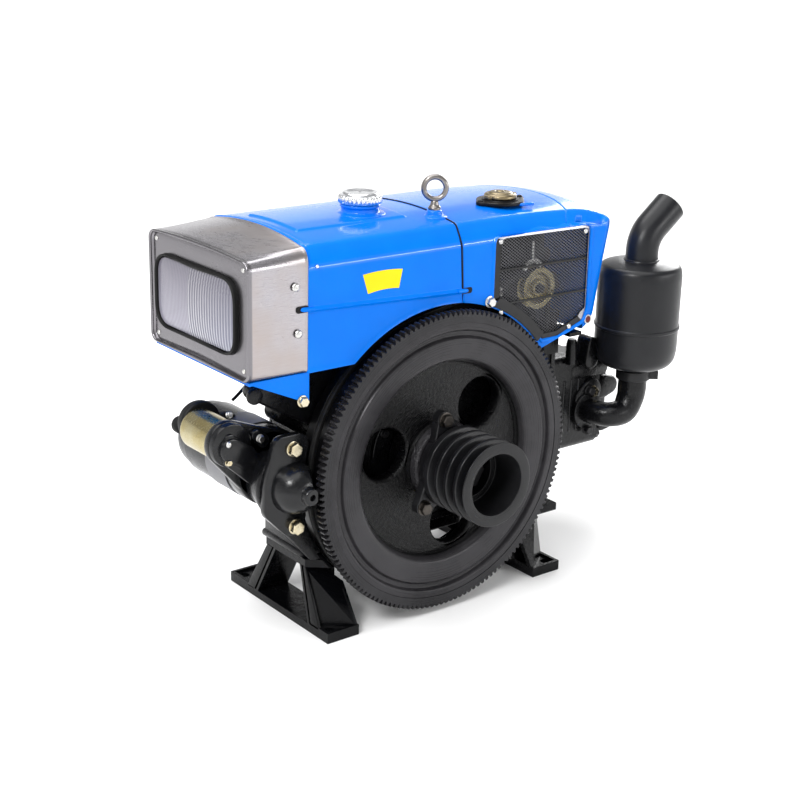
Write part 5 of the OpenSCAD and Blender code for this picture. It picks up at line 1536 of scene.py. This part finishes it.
# Lamp's screws and rivets
lampTrim = Shell()
for x, z in ((-279.0, 537.0), (-274.0, 472.0)):
    addScrew(lampTrim, (x, -122.6, z), (0, -1, 0.02), 6.0, 3.0)
for y, z in ((-106.0, 566.0), (-106.0, 428.0), (122.0, 566.0), (122.0, 428.0)):
    addScrew(lampTrim, (lamp["panelX"] + 0.2, y, z), (-1, 0, 0), 3.6, 2.0)
makePiece("lampScrews", lampTrim, boltSteel, sharp=35)


# Finishes on the solids that stay
for name, node in nodes.items():
    node.data.materials.clear()
    node.data.materials.append(finishes[slotOf[name]])


# Floor, light and camera
# cove and heart in metres, softboxes in watts
stage = {"floor": 0.90, "world": 0.5, "sun": 2.5, "sunAngle": 70.0, "key": 40.0, "fill": 15.0, "top": 14.0,
         "rim": 24.0, "heart": (0.03, -0.02, 0.3), "coveAt": 3.4, "coveEnd": 11.0, "coveRise": 4.0}

floorPaint = Paint("floorPaint", Roughness=0.8)
speck = floorPaint.noise(3.0, 3)
floorPaint.link("Base Color", floorPaint.blend(speck, (stage["floor"] * 0.985,) * 3, (stage["floor"],) * 3))
# round studio cove: height = rise * ((radius - coveAt) / (coveEnd - coveAt)) ** 2 outside the flat middle
out, turn = np.meshgrid(np.r_[0.001, np.linspace(stage["coveAt"], stage["coveEnd"], 17)],
                        np.linspace(0, 2 * np.pi, 97), indexing="ij")
lift = stage["coveRise"] * ((out - stage["coveAt"]).clip(0) / (stage["coveEnd"] - stage["coveAt"])) ** 2
floorMesh = bpy.data.meshes.new("studioFloor")
floorMesh.from_pydata(np.stack([out * np.cos(turn), out * np.sin(turn), lift], 2).reshape(-1, 3).tolist(), [],
                      gridQuads(*out.shape).tolist())
floorMesh.materials.append(floorPaint.material)
floor = bpy.data.objects.new("studioFloor", floorMesh)
bpy.context.scene.collection.objects.link(floor)

world = bpy.data.worlds.new("studioSky")
world.use_nodes = True
world.node_tree.nodes["Background"].inputs["Color"].default_value = (1, 1, 1, 1)
world.node_tree.nodes["Background"].inputs["Strength"].default_value = stage["world"]
bpy.context.scene.world = world
bpy.context.scene.view_settings.view_transform = "Standard"  # plain colours, no film curve


def areaLight(name, place, wide, tall, power):
    # a rectangular softbox that shines at the engine's heart
    data = bpy.data.lights.new(name, "AREA")
    data.energy, data.shape, data.size, data.size_y = power, "RECTANGLE", wide, tall
    softbox = bpy.data.objects.new(name, data)
    matrix = np.eye(4)
    matrix[:3, :3], matrix[:3, 3] = toward(np.array(place) - stage["heart"]), place
    softbox.matrix_world = Matrix(matrix.tolist())
    bpy.context.scene.collection.objects.link(softbox)


areaLight("keySoftbox", (-1.9, -0.9, 1.9), 0.75, 0.5, stage["key"])
areaLight("fillStrip", (1.4, -2.0, 1.0), 1.7, 0.22, stage["fill"])
areaLight("topSoftbox", (0.1, 0.7, 2.2), 1.6, 0.8, stage["top"])
areaLight("rimSoftbox", (2.0, 1.0, 1.3), 0.8, 1.2, stage["rim"])

sunData = bpy.data.lights.new("overheadSun", "SUN")
sunData.energy, sunData.angle = stage["sun"], np.radians(stage["sunAngle"])
sun = bpy.data.objects.new("overheadSun", sunData)
sun.matrix_world = Matrix.Rotation(-0.25, 4, "Y")
bpy.context.scene.collection.objects.link(sun)

view = {"lens": 70.03, "yaw": -38.096, "pitch": 18.435, "roll": 1.432, "place": (-1.40259, -1.78590, 1.05109)}
yaw, pitch, roll = np.radians([view["yaw"], view["pitch"], view["roll"]])
ahead = np.array([-np.sin(yaw) * np.cos(pitch), np.cos(yaw) * np.cos(pitch), -np.sin(pitch)])
level = np.array([np.cos(yaw), np.sin(yaw), 0.0])
above = np.cross(level, ahead)
right = np.cos(roll) * level + np.sin(roll) * above
up = -np.sin(roll) * level + np.cos(roll) * above
pose = np.eye(4)
pose[:3, :3] = np.column_stack([right, up, -ahead])
pose[:3, 3] = view["place"]
cameraData = bpy.data.cameras.new("studioCamera")
cameraData.lens, cameraData.sensor_width = view["lens"], 36.0
cameraData.clip_end = 50
camera = bpy.data.objects.new("studioCamera", cameraData)
camera.matrix_world = Matrix(pose.tolist())
bpy.context.scene.collection.objects.link(camera)
bpy.context.scene.camera = camera
print("light and camera set")
